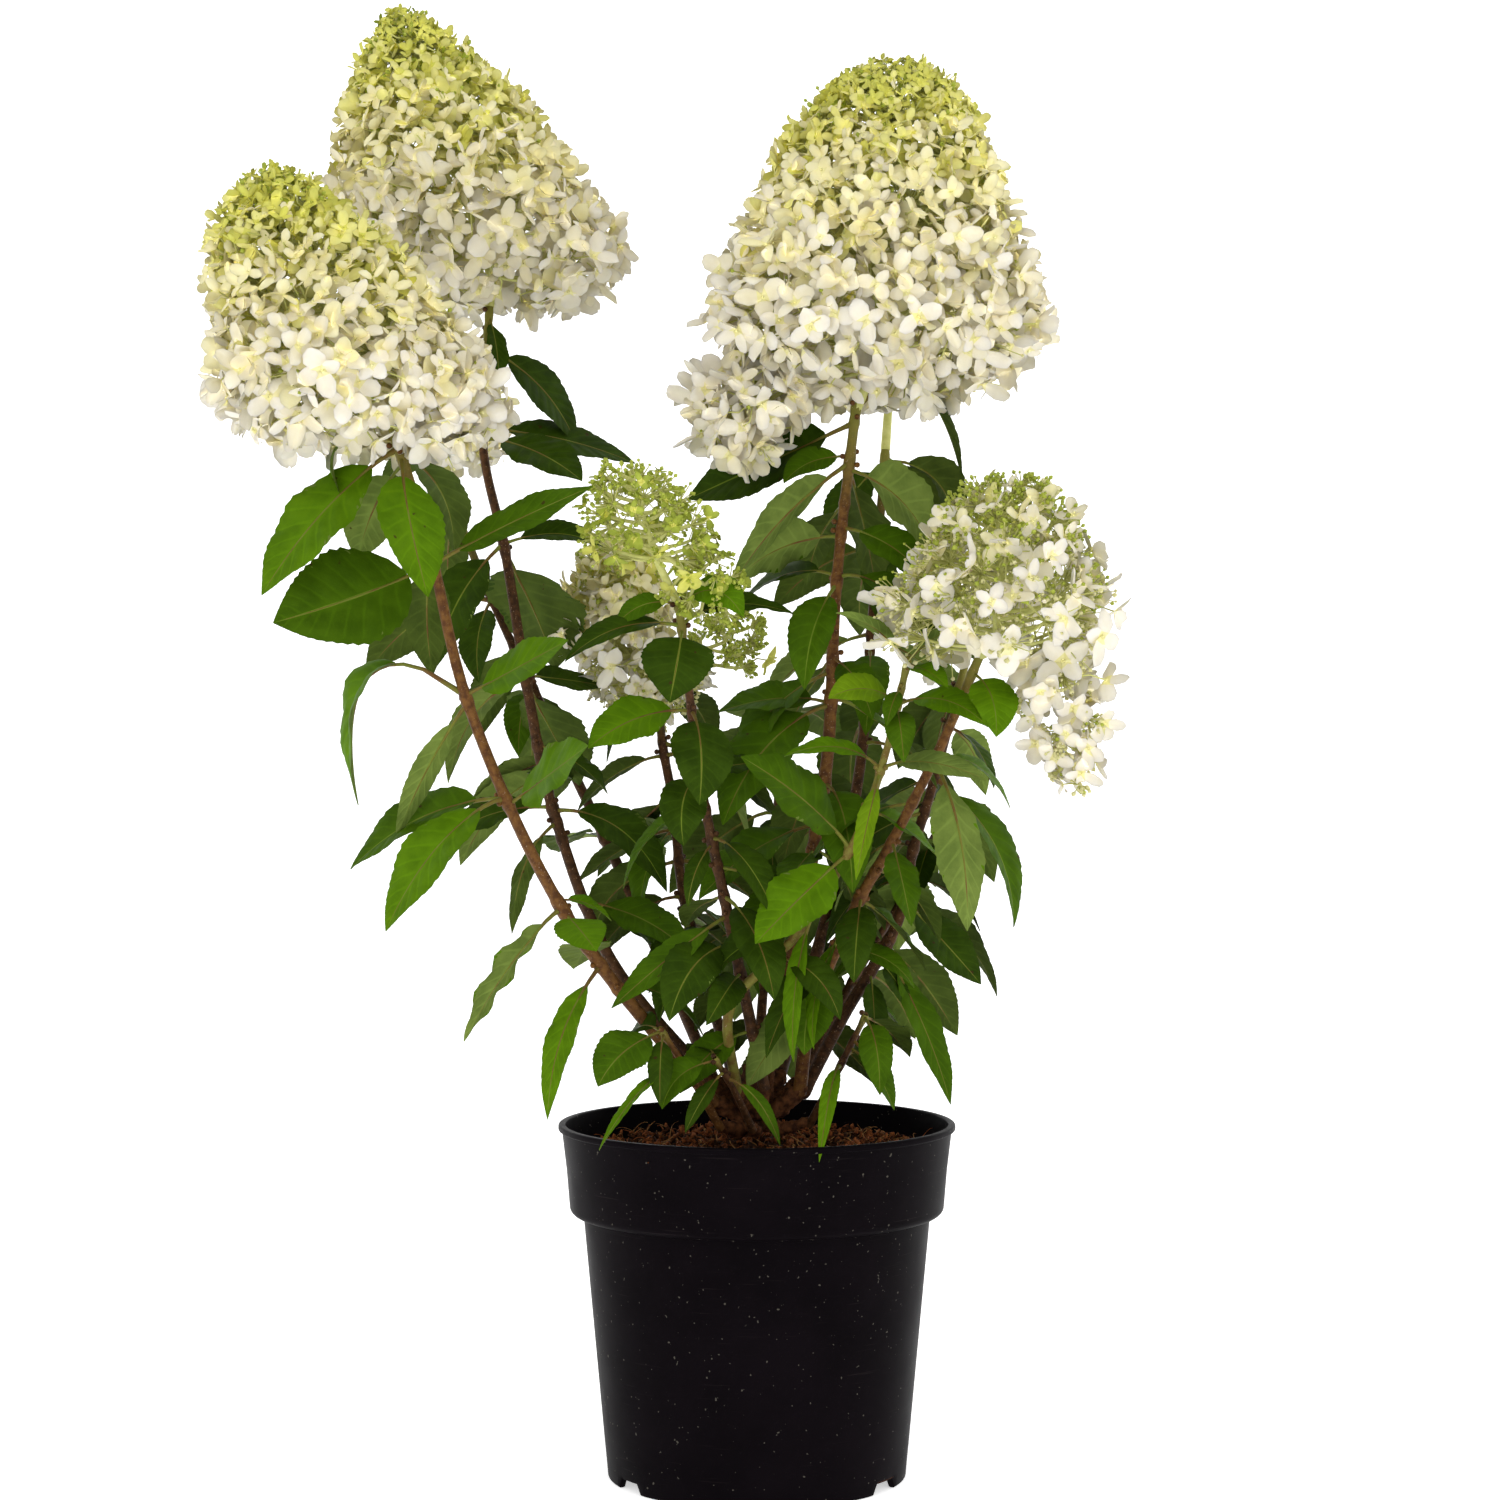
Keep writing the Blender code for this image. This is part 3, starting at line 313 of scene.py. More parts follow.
SPOTS = dict(grain=150, low=0.735, high=0.76, most=0.8)
PORE_COLOUR = (0.36, 0.24, 0.15)
PORES = dict(grain=900, low=0.66, high=0.72, most=0.7)
POT_COLOURS = ((0.0042, 0.0028, 0.0040), (0.0028, 0.0019, 0.0027))
POT_MOTTLE = 18
DUST_COLOUR = (0.12, 0.11, 0.09)
DUST = dict(grain=420, low=0.735, high=0.76, most=0.55, detail=1)
SCUFF_COLOUR = (0.05, 0.038, 0.038)
SCUFFS = dict(grain=4, low=0.68, high=0.76, most=0.16, stretch=(6, 6, 260))
POT_ROUGHNESS = dict(grain=30, low=0.2, high=0.8, least=0.36, most=0.50, detail=5)
POT_GRAIN = 900
POT_GRAIN_STRENGTH = 0.12
POT_GRAIN_RELIEF = 0.2 * MM

# Each shoot: the heading and height of its foot on the crown, the share of its length that is bare,
# its radius at foot and tip, its bark, its leaves' usual tint and their second one, and its route
# The leaf tints mid and dark darken the leaf green as painted shade, for leaves that lie in shadow
Shoot = namedtuple("Shoot", "heading height bare thick thin bark tints route")
SHOOTS = {
    "left_front": Shoot(
        213, 216, 0.21, 4.6, 3.0, "bark_red", ("bright", "mid"),
        ((-89, -35, 298), (-128, -50, 364), (-163, -66, 451), (-182, -82, 535), (-204, -94, 608)),
    ),
    "left_back": Shoot(
        178, 228, 0.33, 4.4, 2.8, "bark_dark", ("mid", "dark"),
        ((-86, 25, 297), (-120, 37, 383), (-135, 44, 450), (-150, 53, 538), (-164, 61, 605),
         (-160, 68, 690)),
    ),
    "middle": Shoot(
        None, 238, 0.30, 5.0, 3.2, "bark_red", ("mid", "dark"),
        ((24, -10, 320), (40, -14, 411), (46, -19, 519), (57, -22, 619)),
    ),
    "middle_back": Shoot(
        62, 228, 0.28, 4.6, 3.0, "bark_dark", ("dark", "mid"),
        ((42, 60, 320), (62, 95, 402), (72, 125, 505), (81, 148, 610)),
    ),
    "centre_front": Shoot(
        279, 226, 0.26, 4.0, 2.6, "bark_dark", ("mid", "dark"),
        ((-19, -40, 338), (-32, -52, 403), (-40, -65, 470), (-44, -71, 504)),
    ),
    "centre_back": Shoot(
        119, 228, 0.26, 4.2, 2.8, "bark_dark", ("dark", "mid"),
        ((-42, 60, 323), (-50, 77, 384), (-57, 88, 421), (-62, 100, 464)),
    ),
    "right_front": Shoot(
        330, 222, 0.29, 4.6, 2.8, "bark_red", ("mid", "bright"),
        ((31, -25, 268), (52, -36, 323), (78, -50, 372), (104, -62, 425), (125, -76, 476)),
    ),
    "right_back": Shoot(
        4, 222, 0.26, 4.4, 2.8, "bark_dark", ("mid", "dark"),
        ((51, 10, 265), (82, 22, 317), (92, 30, 360), (105, 38, 402), (126, 66, 474)),
    ),
    "young_green": Shoot(
        246, 224, 0.40, 3.6, 2.2, "bark_green", ("bright", "mid"),
        ((-16, -46, 272), (7, -50, 301), (24, -52, 319), (54, -58, 368), (71, -62, 415), (85, -68, 474)),
    ),
    "far_left": Shoot(
        149, 224, 0.38, 4.4, 2.8, "bark_dark", ("mid", "dark"),
        ((-70, 75, 320), (-120, 115, 420), (-162, 138, 506), (-192, 152, 576)),
    ),
    "far_middle": Shoot(
        91, 224, 0.32, 3.8, 2.0, "bark_dark", ("dark", "mid"),
        ((6, 80, 300), (12, 118, 372), (14, 146, 440)),
    ),
    "far_right": Shoot(
        33, 224, 0.30, 3.8, 2.0, "bark_dark", ("dark", "mid"),
        ((60, 66, 285), (95, 102, 338), (122, 128, 392)),
    ),
    "basal_left": Shoot(
        228, 203, 0, 3.0, 1.8, "bark_red", ("mid", "dark"), ((-38, -42, 236), (-55, -54, 264)),
    ),
    "basal_front": Shoot(
        266, 203, 0, 2.8, 1.6, "bark_dark", ("mid", "dark"), ((-12, -46, 226), (-24, -60, 248)),
    ),
    "basal_right": Shoot(
        346, 203, 0, 3.0, 1.8, "bark_dark", ("mid", "dark"), ((46, -24, 236), (62, -36, 270)),
    ),
    "basal_back": Shoot(
        76, 203, 0, 3.0, 1.8, "bark_dark", ("dark", "mid"), ((14, 46, 232), (18, 62, 260)),
    ),
}

# Each leaf: the share of the stem's length where it grows, and then the values of LEAF_COLUMNS.
# Hang is how far its tip lies below the level, and length has the petiole in it. Values that are
# None or left out are drawn at random. Roll 180 turns the underside to the viewer.
LEAF_COLUMNS = (
    "heading", "hang", "length", "tint", "width", "roll", "twist", "arch", "fold", "sway", "ruffle",
    "ruffles", "skew",
)
LEAVES = {
    "left_front": (
        (0.95, 200, 47, 112, None, 0.38, -38, 0, 0.06, 0.14, 0),
        (0.96, 195, 52, 46, "bright", 0.46, -8, None, 0.5),
        (0.94, 298, 64, 88, "bright", 0.46, 0, None, 0.05, 0.14), (0.95, 55, 50, 74, "mid", 0.44, 10),
        (0.93, 130, 48, 70, None, 0.46, 35, 0, 0.06),
        (0.8, 205, 20, 98, "mid", 0.62, -58, 0, -0.02, 0.14, 0),
        (0.8, 350, -25, 100, "mid", 0.27, 48, 0, 0.02, 0.2, 0), (0.81, 95, 60, 76, "dark", 0.36, 0),
        (0.63, 183, 46, 86, "bright", 0.4, -25, 10, 0.54, 0.45, None, None, None, 0.64),
        (0.63, 335, -25, 72, "bright", 0.5, 48, 0, 0, 0.16, 0),
        (0.62, 154, 58, 90, "dark", 0.19, 34, 0, 0.03),
        (0.49, 205, 46, 102, "bright", 0.38, -26, 0, 0.12, 0.3),
        (0.49, 166, 24, 102, "mid", 0.34, -42, 0, 0.1),
        (0.48, 322, -30, 68, "bright", 0.66, 52, 0, 0, 0.14, 0),
        (0.33, 213, 49, 96, None, 0.24, 52, 14, 0.07, None, None, 0.2, 3.4), (0.34, 20, 20, 34),
        (0.32, 300, 26, 42, "bright", 0.7, 0, None, 0.06, 0.12),
        (0.24, 238, 58, 98, None, 0.17, -10, None, 0.13, None, 0, 0.16, 3), (0.2, 20, 30, 60),
        (0.27, 100, 15, 70, None, None, 0),
    ),
    "left_back": (
        (0.98, 300, 72, 44), (0.94, 20, 45, 80, "dark", 0.46, 50, 0, None, None, 0),
        (0.84, 12, 11, 95, "dark", 0.34, 38, 0, 0.06), (0.83, 322, 20, 84, "dark", 0.4, 28, 0, 0.06),
        (0.7, 354, 2, 60, "dark", 0.36, 38, 0, 0.12), (0.69, 62, 50, 90, "dark", 0.78, 8, 0, 0.05, 0.2),
        (0.54, 38, 6, 60, "dark", 0.42, 34, 0, 0.02), (0.53, 52, 52, 78, "dark", 0.74, 8, 0, 0.05, 0.2),
        (0.38, 176, 22, 76, "dark", 0.34, -42, 0), (0.375, 340, 33, 86, "dark", 0.33, 38, 0, 0.18),
        (0.36, 228, 60, 74, None, 0.21, 180, None, 0.14, None, None, 0.12), (0.96, 120, 35, 70),
        (0.83, 142, 20, 88), (0.54, 140, 45, 92, "dark", 0.3), (0.4, 90, 5, 80, None, None, 0),
        (0.7, 205, 60, 86, "dark", 0.4, -40, 0, 0.1), (0.455, 345, 33, 52, "dark", 0.5, 24),
        (0.34, 95, 8, 80, None, None, 0, None, 0.05), (0.26, 330, 20, 76), (0.26, 20, 40, 70),
    ),
    "middle": (
        (0.97, 160, 22, 111, "dark", 0.44, -56, 0, 0, None, 0),
        (0.92, 200, 22, 44, "mid", 0.5, -50, None, 0.12),
        (0.91, 213, 42, 109, "under", 0.3, 52, 0, 0.06, None, 0), (0.8, 190, 22, 66, "mid", 0.6, 46, 0),
        (0.9, 325, 42, 78, "under", 0.56, -60, 0), (0.9, 62, 62, 84, "dark", 0.46),
        (0.74, 158, 15, 64, "dark", None, -26, 0), (0.73, 248, 50, 80, "mid", 0.36, -5, None, None, 0.8),
        (0.55, 186, 4, 66), (0.55, 212, 43, 100, "mid", 0.44, -24, 0, None, None, 0), (0.74, 340, 34, 72),
        (0.56, 22, 38, 86), (0.43, 286, 48, 80), (0.43, 112, 40, 84), (0.33, 250, 20, 60),
        (0.33, 50, 36, 84), (0.62, 120, 40, 78), (0.62, 300, 40, 56), (0.37, 200, 30, 84),
        (0.28, 230, 34, 70), (0.85, 110, 36, 76),
        (0.99, 20, 31, 78, "mid", 0.28, 12, 0, 0.42, None, 0, None, None, 0.62),
    ),
    "middle_back": (
        (0.97, 5, 46, 66, "dark", 0.66, -25, 0, 0.24), (0.98, 18, 58, 62),
        (0.97, 215, 52, 66, "dark", 0.4, -30), (0.84, 96, 34, 98), (0.83, 268, 48, 60), (0.7, 12, 38, 92),
        (0.7, 170, 34, 84), (0.56, 92, 42, 100), (0.42, 24, 40, 74), (0.42, 200, 44, 66),
        (0.31, 110, 40, 80), (0.31, 310, 20, 40),
    ),
    "centre_front": (
        (0.985, 330, 8, 42, "bright", 0.56, 48, 0, 0.3), (0.99, 192, 18, 38),
        (0.95, 197, 17, 70, "dark", 0.3, -32, 0), (0.95, 14, -6, 66, "dark", 0.3, 32, 0),
        (0.94, 262, 44, 58, "dark", 0.68, -11), (0.78, 200, 19, 64, "bright", 0.48, -46, 0, None, 0.16),
        (0.78, 278, 54, 64, "dark", 0.56), (0.65, 250, 58, 46, "dark", 0.6, -34, 0),
        (0.51, 240, 52, 44, "dark", 0.26), (0.64, 20, -10, 44), (0.52, 322, 44, 66, "dark", None, 18),
        (0.4, 296, 40, 84, "dark"), (0.4, 120, 24, 50), (0.3, 232, 34, 70, "dark", 0.44, -40),
        (0.58, 150, 40, 72, "mid", 0.2), (0.46, 350, 26, 62, "dark"),
        (0.36, 200, 36, 86, "mid", 0.26, -32, 0, 0.04, 0.16), (0.24, 250, 24, 60), (0.22, 120, 30, 64),
        (0.12, 205, 36, 56),
    ),
    "centre_back": (
        (0.96, 58, 30, 72), (0.95, 232, 40, 62), (0.8, 206, 30, 66), (0.8, 352, 30, 84),
        (0.62, 100, 12, 96, None, None, 0), (0.62, 246, 45, 72), (0.45, 192, 36, 70), (0.45, 338, 50, 76),
        (0.31, 250, 30, 72), (0.31, 84, 34, 74), (0.7, 140, 40, 80), (0.54, 20, 36, 84),
        (0.54, 160, 42, 78), (0.38, 60, 30, 80), (0.38, 250, 30, 70),
    ),
    "right_front": (
        (0.95, 292, 50, 46, "bright", 0.6, 10), (0.76, 292, 66, 103, None, 0.3, 180, 0, 0.08, None, 0.02),
        (0.76, 24, 30, 56), (0.57, 290, 58, 54), (0.57, 152, 48, 54, "under", 0.56, -44),
        (0.44, 262, 50, 60, "dark"), (0.33, 215, 51, 80, "dark", 0.26, -20, 0, 0.1), (0.43, 20, 45, 60),
        (0.32, 350, 26, 50), (0.37, 238, 62, 76, "bright", 0.15, 10, None, 0.1), (0.66, 160, 30, 70),
        (0.5, 40, 40, 66), (0.25, 250, 50, 52, "mid", 0.56, -20),
        (0.22, 200, 50, 68, "under", 0.44, -34, 0, 0.06),
    ),
    "right_back": (
        (0.72, 333, 60, 101, "mid", 0.34, 12, None, None, None, 0), (0.56, 118, 20, 66, None, None, 0),
        (0.45, 342, 46, 67, "dark", 0.5, 26, None, 0.02), (0.34, 322, 62, 100, "mid", 0.21, 14, None, 0.05),
        (0.31, 322, 50, 38, "dark", 0.5, 8), (0.72, 152, 30, 74), (0.93, 104, 42, 74, None, None, -21),
        (0.92, 118, 34, 84), (0.56, 100, 15, 84, None, None, 0), (0.36, 150, 40, 52),
        (0.84, 60, 40, 66, "dark"), (0.64, 200, 30, 70), (0.5, 140, 30, 76),
        (0.28, 275, 62, 50, "dark", 0.36, -23),
    ),
    "young_green": (
        (0.985, 195, -33, 50, "bright", 0.26, 20, None, 0.1),
        (0.985, 322, -24, 47, "bright", 0.26, -20, None, 0.12), (0.97, 300, 14, 44),
        (0.9, 200, -4, 42, "young", 0.56, -40), (0.93, 248, 40, 32), (0.9, 322, 12, 62, None, 0.36, 40),
        (0.89, 275, 45, 42), (0.765, 190, -8, 56, "bright", 0.28, -34, 0, 0.17),
        (0.765, 322, 4, 72, "under", 0.24, 40, 0, 0.1), (0.76, 240, 64, 66, "young", 0.2, -5),
        (0.595, 205, -38, 86, "mid", 0.5, -52, 0, 0.05, 0.2),
        (0.585, 212, 38, 78, "bright", 0.48, -36, 0, 0.02, 0.16),
        (0.46, 235, 76, 88, "bright", 0.15, 0, None, 0.05), (0.68, 30, 30, 56), (0.4, 180, 34, 64, "dark"),
        (0.33, 320, 34, 58, "dark"),
    ),
    "far_left": (
        (0.97, 100, 38, 84), (0.97, 230, 46, 70), (0.83, 176, 30, 92), (0.83, 0, 24, 74),
        (0.68, 94, 40, 100), (0.68, 262, 44, 60), (0.54, 172, 40, 92),
        (0.54, 95, 6, 62, None, None, 0, None, 0.05), (0.42, 70, 10, 96, None, None, 0, None, 0.05),
    ),
    "far_middle": (
        (0.98, 60, 12, 92), (0.98, 225, -10, 50), (0.97, 125, 30, 88), (0.74, 20, 32, 84),
        (0.74, 160, 36, 88), (0.52, 92, 44, 96), (0.38, 30, 44, 74), (0.38, 112, 44, 74),
    ),
    "far_right": (
        (0.98, 112, 14, 84, None, None, -30), (0.98, 120, 18, 84), (0.97, 65, 34, 96), (0.72, 318, 30, 60),
        (0.72, 100, 36, 84), (0.5, 40, 42, 92), (0.36, 330, 44, 52),
    ),
    "basal_left": (
        (0.97, 222, 31, 54, "mid", 0.56, -24), (0.94, 268, 50, 48, "dark", 0.3),
        (0.62, 237, 24, 92, "bright", 0.1, 0, None, 0.12), (0.92, 118, 12, 52, None, None, -40),
        (0.6, 105, 16, 50, None, None, -28),
    ),
    "basal_front": (
        (0.96, 205, 38, 42, "mid", 0.5, -30), (0.8, 232, 42, 46, "dark", 0.26, -5),
        (0.95, 100, 10, 62, "dark", None, 7), (0.7, 325, 44, 50, "mid", 0.17, 41),
    ),
    "basal_right": (
        (0.97, 282, 48, 54, "mid", 0.36), (0.78, 312, 48, 50, "mid", 0.36),
        (0.55, 261, 26, 98, "bright", 0.1, 0, None, 0.14), (0.72, 338, 50, 40, None, 0.34),
        (0.96, 60, 25, 64, None, None, 0), (0.6, 60, 14, 50, None, None, 17),
    ),
    "basal_back": (
        (0.96, 84, 34, 84), (0.95, 14, 36, 72), (0.94, 166, 34, 74), (0.6, 116, 24, 66),
    ),}

# Shoots at the back that get more leaves by rule, how many, and what is given one by one for a few of
# these, by shoot and by the leaf's number
FILLED_SHOOTS = {
    "middle_back": 7, "far_left": 5, "far_middle": 6, "far_right": 5, "centre_back": 3, "right_back": 3,
    "middle": 3,
}
FILLED_LEAF_SHAPES = {
    ("middle_back", 12): dict(length=58, width=0.8, tint="under"),
    ("right_back", 14): dict(heading=118, hang=20, roll=0),
    ("right_back", 16): dict(length=48, tint="dark"),
    ("far_left", 9): dict(heading=115, hang=6, roll=0, arch=0.05),
    ("far_left", 11): dict(heading=80, hang=6, roll=0, arch=0.05),
}

# Which shoots' leaves are joined into one piece
LEAF_GROUPS = {
    "left": ("left_front", "left_back", "far_left", "basal_left"),
    "centre": (
        "middle", "middle_back", "centre_front", "centre_back", "far_middle", "basal_front", "basal_back",
    ),
    "right": ("right_front", "right_back", "young_green", "far_right", "basal_right"),
}


def cone_of(base, apex, radius, **own):
    """One cone of a bloom; what it has of its own goes before what the bloom says."""
    return dict(base=base, apex=apex, radius=radius, **own)


# Each bloom: its shoot, how blunt its cones are, its florets' radius at foot and top, its tint (added
# to the height that gives a floret its colour), how densely florets cover its skin, its number of
# branches, the buds on each branch, and its cones, the main one first
BLOOMS = {
    "upper_left": dict(
        shoot="left_back", bluntness=0.76, florets=(13, 3.6), tint=0.10, cover=1.5, branches=40, buds=7,
        cones=(cone_of((-160, 70, 704), (-214, 80, 868), 86),),
    ),
    "left": dict(
        shoot="left_front", bluntness=0.62, florets=(13, 4.2), tint=0.04, cover=1.5, branches=36, buds=7,
        cones=(cone_of((-214, -94, 600), (-263, -112, 739), 77),
               cone_of((-182, -90, 618), (-150, -88, 592), 30, greening=0.1, florets=(12, 10))),
    ),
    "right": dict(
        shoot="middle", bluntness=0.5, florets=(13.5, 4), tint=0.0, cover=1.5, branches=44, buds=7,
        cones=(cone_of((65, -23, 637), (79, -30, 814), 90),
               cone_of((0, -28, 632), (-14, -36, 580), 37, greening=0.1, florets=(13, 11))),
    ),
    "right_rear": dict(
        shoot="middle_back", bluntness=0.5, florets=(12, 4.5), tint=0.0, cover=1.3, branches=26, buds=7,
        cones=(cone_of((84, 152, 652), (98, 174, 764), 64),),
    ),
    "far_right": dict(
        shoot="right_front", bluntness=0.6, florets=(15, 7), tint=-0.22, cover=0.54, branches=64, buds=26,
        cones=(cone_of((132, -80, 478), (137, -92, 574), 66, greening=0.8),
               cone_of((164, -78, 474), (178, -74, 396), 27, greening=0.1, cover=0.7)),
    ),
    "centre_green": dict(
        shoot="centre_front", bluntness=0.42, florets=(8, 6), tint=1.08, cover=0.26, branches=34, buds=15,
        cones=(cone_of((-56, -74, 527), (-72, -79, 579), 38, greening=0.4),
               cone_of((-40, -74, 520), (-12, -76, 500), 24, greening=0.4)),
    ),
    "centre_rear": dict(
        shoot="centre_back", bluntness=0.4, florets=(11, 7), tint=0.26, cover=1.2, branches=22, buds=12,
        cones=(cone_of((-88, 101, 482), (-84, 112, 552), 34, greening=0.4),
               cone_of((-70, 96, 478), (-66, 96, 438), 40, tint=0.0, greening=0.1, cover=0.6),
               cone_of((-20, 98, 470), (-12, 98, 506), 25, tint=0.9, cover=0.12, buds=40)),
    ),
    "side_rear": dict(
        shoot="right_back", bluntness=0.5, florets=(10, 5), tint=0.2, cover=0.6, branches=26, buds=16,
        cones=(cone_of((130, 74, 492), (148, 92, 568), 44),),
    ),
    "left_rear": dict(
        shoot="far_left", bluntness=0.5, florets=(11.5, 5), tint=0.05, cover=1.3, branches=20, buds=7,
        cones=(cone_of((-196, 153, 606), (-212, 170, 680), 44),),
    ),
}

# The petals' tint where a floret's colour value is above each step
PETAL_TINTS = (
    (1.15, "green"), (0.86, "lime"), (0.70, "pale"), (0.46, "cream"), (0.2, "ivory"), (-9, "white"),
)

# Plain finishes: the two colours that a fine noise mixes, roughness, grain per metre, relief
FINISHES = {
    "leaf_bright": ((0.092, 0.195, 0.003), (0.068, 0.150, 0.002), 0.5, 70, 0.25),
    # leaf_mid and leaf_dark are the leaf green darkened as painted shade for leaves in part and deep shadow
    "leaf_mid": ((0.056, 0.118, 0.003), (0.040, 0.088, 0.002), 0.5, 70, 0.25),
    "leaf_dark": ((0.032, 0.064, 0.003), (0.021, 0.044, 0.002), 0.5, 70, 0.25),
    "leaf_young": ((0.145, 0.250, 0.006), (0.110, 0.200, 0.005), 0.5, 70, 0.2),
    "leaf_under": ((0.155, 0.215, 0.042), (0.110, 0.160, 0.030), 0.7, 70, 0.35),
    "leaf_shadow": ((0.070, 0.105, 0.016), (0.048, 0.074, 0.011), 0.7, 70, 0.35),
    "leaf_rib": ((0.150, 0.225, 0.022), (0.110, 0.170, 0.015), 0.5, 90, 0.2),
    "petiole": ((0.160, 0.190, 0.025), (0.150, 0.075, 0.022), 0.5, 60, 0.2),
    "petal_white": ((0.82, 0.78, 0.67), (0.78, 0.73, 0.60), 0.6, 90, 0.2),
    "petal_ivory": ((0.82, 0.77, 0.60), (0.78, 0.72, 0.52), 0.6, 90, 0.2),
    "petal_cream": ((0.84, 0.79, 0.50), (0.79, 0.73, 0.41), 0.6, 90, 0.2),
    "petal_pale": ((0.78, 0.74, 0.29), (0.71, 0.68, 0.22), 0.6, 90, 0.2),
    "petal_lime": ((0.68, 0.66, 0.16), (0.58, 0.58, 0.11), 0.6, 90, 0.2),
    "petal_green": ((0.41, 0.47, 0.07), (0.32, 0.38, 0.045), 0.6, 90, 0.2),
    "petal_heart": ((0.80, 0.76, 0.44), (0.74, 0.70, 0.34), 0.6, 90, 0.2),
    "bud_cream": ((0.76, 0.72, 0.40), (0.62, 0.60, 0.26), 0.5, 300, 0.2),
    "bud_lime": ((0.44, 0.50, 0.08), (0.32, 0.38, 0.045), 0.5, 300, 0.2),
    "stalk": ((0.66, 0.66, 0.25), (0.55, 0.56, 0.17), 0.55, 200, 0.2),
    "bark_red": ((0.185, 0.082, 0.020), (0.085, 0.033, 0.010), 0.5, 260, 0.5),
    "bark_dark": ((0.098, 0.042, 0.015), (0.040, 0.017, 0.007), 0.5, 260, 0.5),
    "bark_green": ((0.200, 0.190, 0.035), (0.160, 0.105, 0.024), 0.5, 200, 0.3),
    "wood": ((0.170, 0.066, 0.024), (0.045, 0.016, 0.008), 0.85, 240, 0.9),
    "compost": ((0.080, 0.026, 0.009), (0.014, 0.005, 0.002), 0.95, 420, 1.0),
    "chip": ((0.340, 0.105, 0.030), (0.100, 0.029, 0.010), 0.85, 500, 0.6),
    "fibre": ((0.420, 0.230, 0.080), (0.170, 0.062, 0.020), 0.8, 500, 0.3),
}


def unit(vector):
    return vector / np.linalg.norm(vector, axis=-1, keepdims=True)


def level_way(angle):
    """The level direction with this heading, here in radians."""
    return np.array((math.cos(angle), math.sin(angle), 0.0))


def square_to(axis):
    """Two directions square to an axis and to each other."""
    reference = DEPTH if abs(axis @ DEPTH) < 0.9 else UP
    across = unit(np.cross(reference, axis))
    return across, np.cross(axis, across)


def grid_quads(rows, columns, closed=False):
    """The quads between rows of points; closed ones join the last column to the first."""
    index = np.arange(rows * columns).reshape(rows, columns)
    after = np.roll(index, -1, axis=1)
    if not closed:
        index, after = index[:, :-1], after[:, :-1]
    return np.stack([index[:-1], after[:-1], after[1:], index[1:]], axis=-1).reshape(-1, 4)


def turned_angles(sides):
    return np.arange(sides) * math.tau / sides


def fan(sides, across, other):
    """Directions all round, from the first towards the second."""
    angles = turned_angles(sides)[:, None]
    return np.cos(angles) * across + np.sin(angles) * other


def level_rings(radii, heights, sides):
    """Rings of points round the pot's axis."""
    angles = turned_angles(sides)
    return np.stack(np.broadcast_arrays(radii * np.cos(angles), radii * np.sin(angles), heights), axis=-1)


def bent_line(start, end, normal, bend, count):
    """A line from start to end that arrives along the normal."""
    share = np.linspace(0, 1, count)[:, None]
    control = end - normal * np.linalg.norm(end - start) * bend
    return (1 - share) ** 2 * start + 2 * share * (1 - share) * control + share**2 * end


def arc(centre, radius, start, end, count):
    """Points of radius and height along an arc, angles in degrees."""
    angles = np.radians(np.linspace(start, end, count))
    return [(centre[0] + radius * math.cos(a), centre[1] + radius * math.sin(a)) for a in angles]


def new_object(name, data):
    item = bpy.data.objects.new(name, data)
    bpy.context.scene.collection.objects.link(item)
    return item


class Pile:
    """Many small shapes gathered into one mesh, each with its finish and its shade values."""

    def __init__(self, name, finishes):
        self.name = name
        self.finishes = list(finishes)
        self.points, self.quads, self.slots, self.shades = [], [], [], []
        self.count = 0

    def chosen(self, test, finish, other):
        """The first finish where the test holds, and the other elsewhere."""
        return np.where(test, self.finishes.index(finish), self.finishes.index(other))

    def add(self, points, quads, finish, shade=None):
        """Finish is one name, or an array that counts into the pile's own list of finishes."""
        points = points.reshape(-1, 3)
        slots = self.finishes.index(finish) if isinstance(finish, str) else finish
        self.points.append(points)
        self.quads.append(quads + self.count)
        self.slots.append(np.broadcast_to(slots, (len(quads),)))
        self.shades.append(np.zeros(len(points)) if shade is None else np.ravel(shade))
        self.count += len(points)

    def add_rings(self, rings, finish, shade=None):
        """Rings of points, each joined to the next."""
        self.add(rings, grid_quads(*rings.shape[:2], closed=True), finish, shade)

    def build(self, replaced, slot):
        """The mesh as a piece that rides on the one body and stands for the solids it replaces."""
        quads = np.concatenate(self.quads).astype(np.int32)
        mesh = bpy.data.meshes.new(self.name)
        mesh.vertices.add(self.count)
        mesh.vertices.foreach_set("co", np.concatenate(self.points).astype(np.float32).ravel())
        mesh.loops.add(quads.size)
        mesh.loops.foreach_set("vertex_index", quads.ravel())
        mesh.polygons.add(len(quads))
        mesh.polygons.foreach_set("loop_start", np.arange(0, quads.size, 4, dtype=np.int32))
        mesh.update(calc_edges=True)
        for name in self.finishes:
            mesh.materials.append(MATERIALS[name])
        mesh.polygons.foreach_set("material_index", np.concatenate(self.slots).astype(np.int32))
        mesh.shade_smooth()
        shade = mesh.attributes.new("shade", "FLOAT", "POINT")
        shade.data.foreach_set("value", np.concatenate(self.shades).astype(np.float32))
        item = new_object(self.name, mesh)
        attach(item, "root")
        if replaced:
            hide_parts(*replaced)
        return item


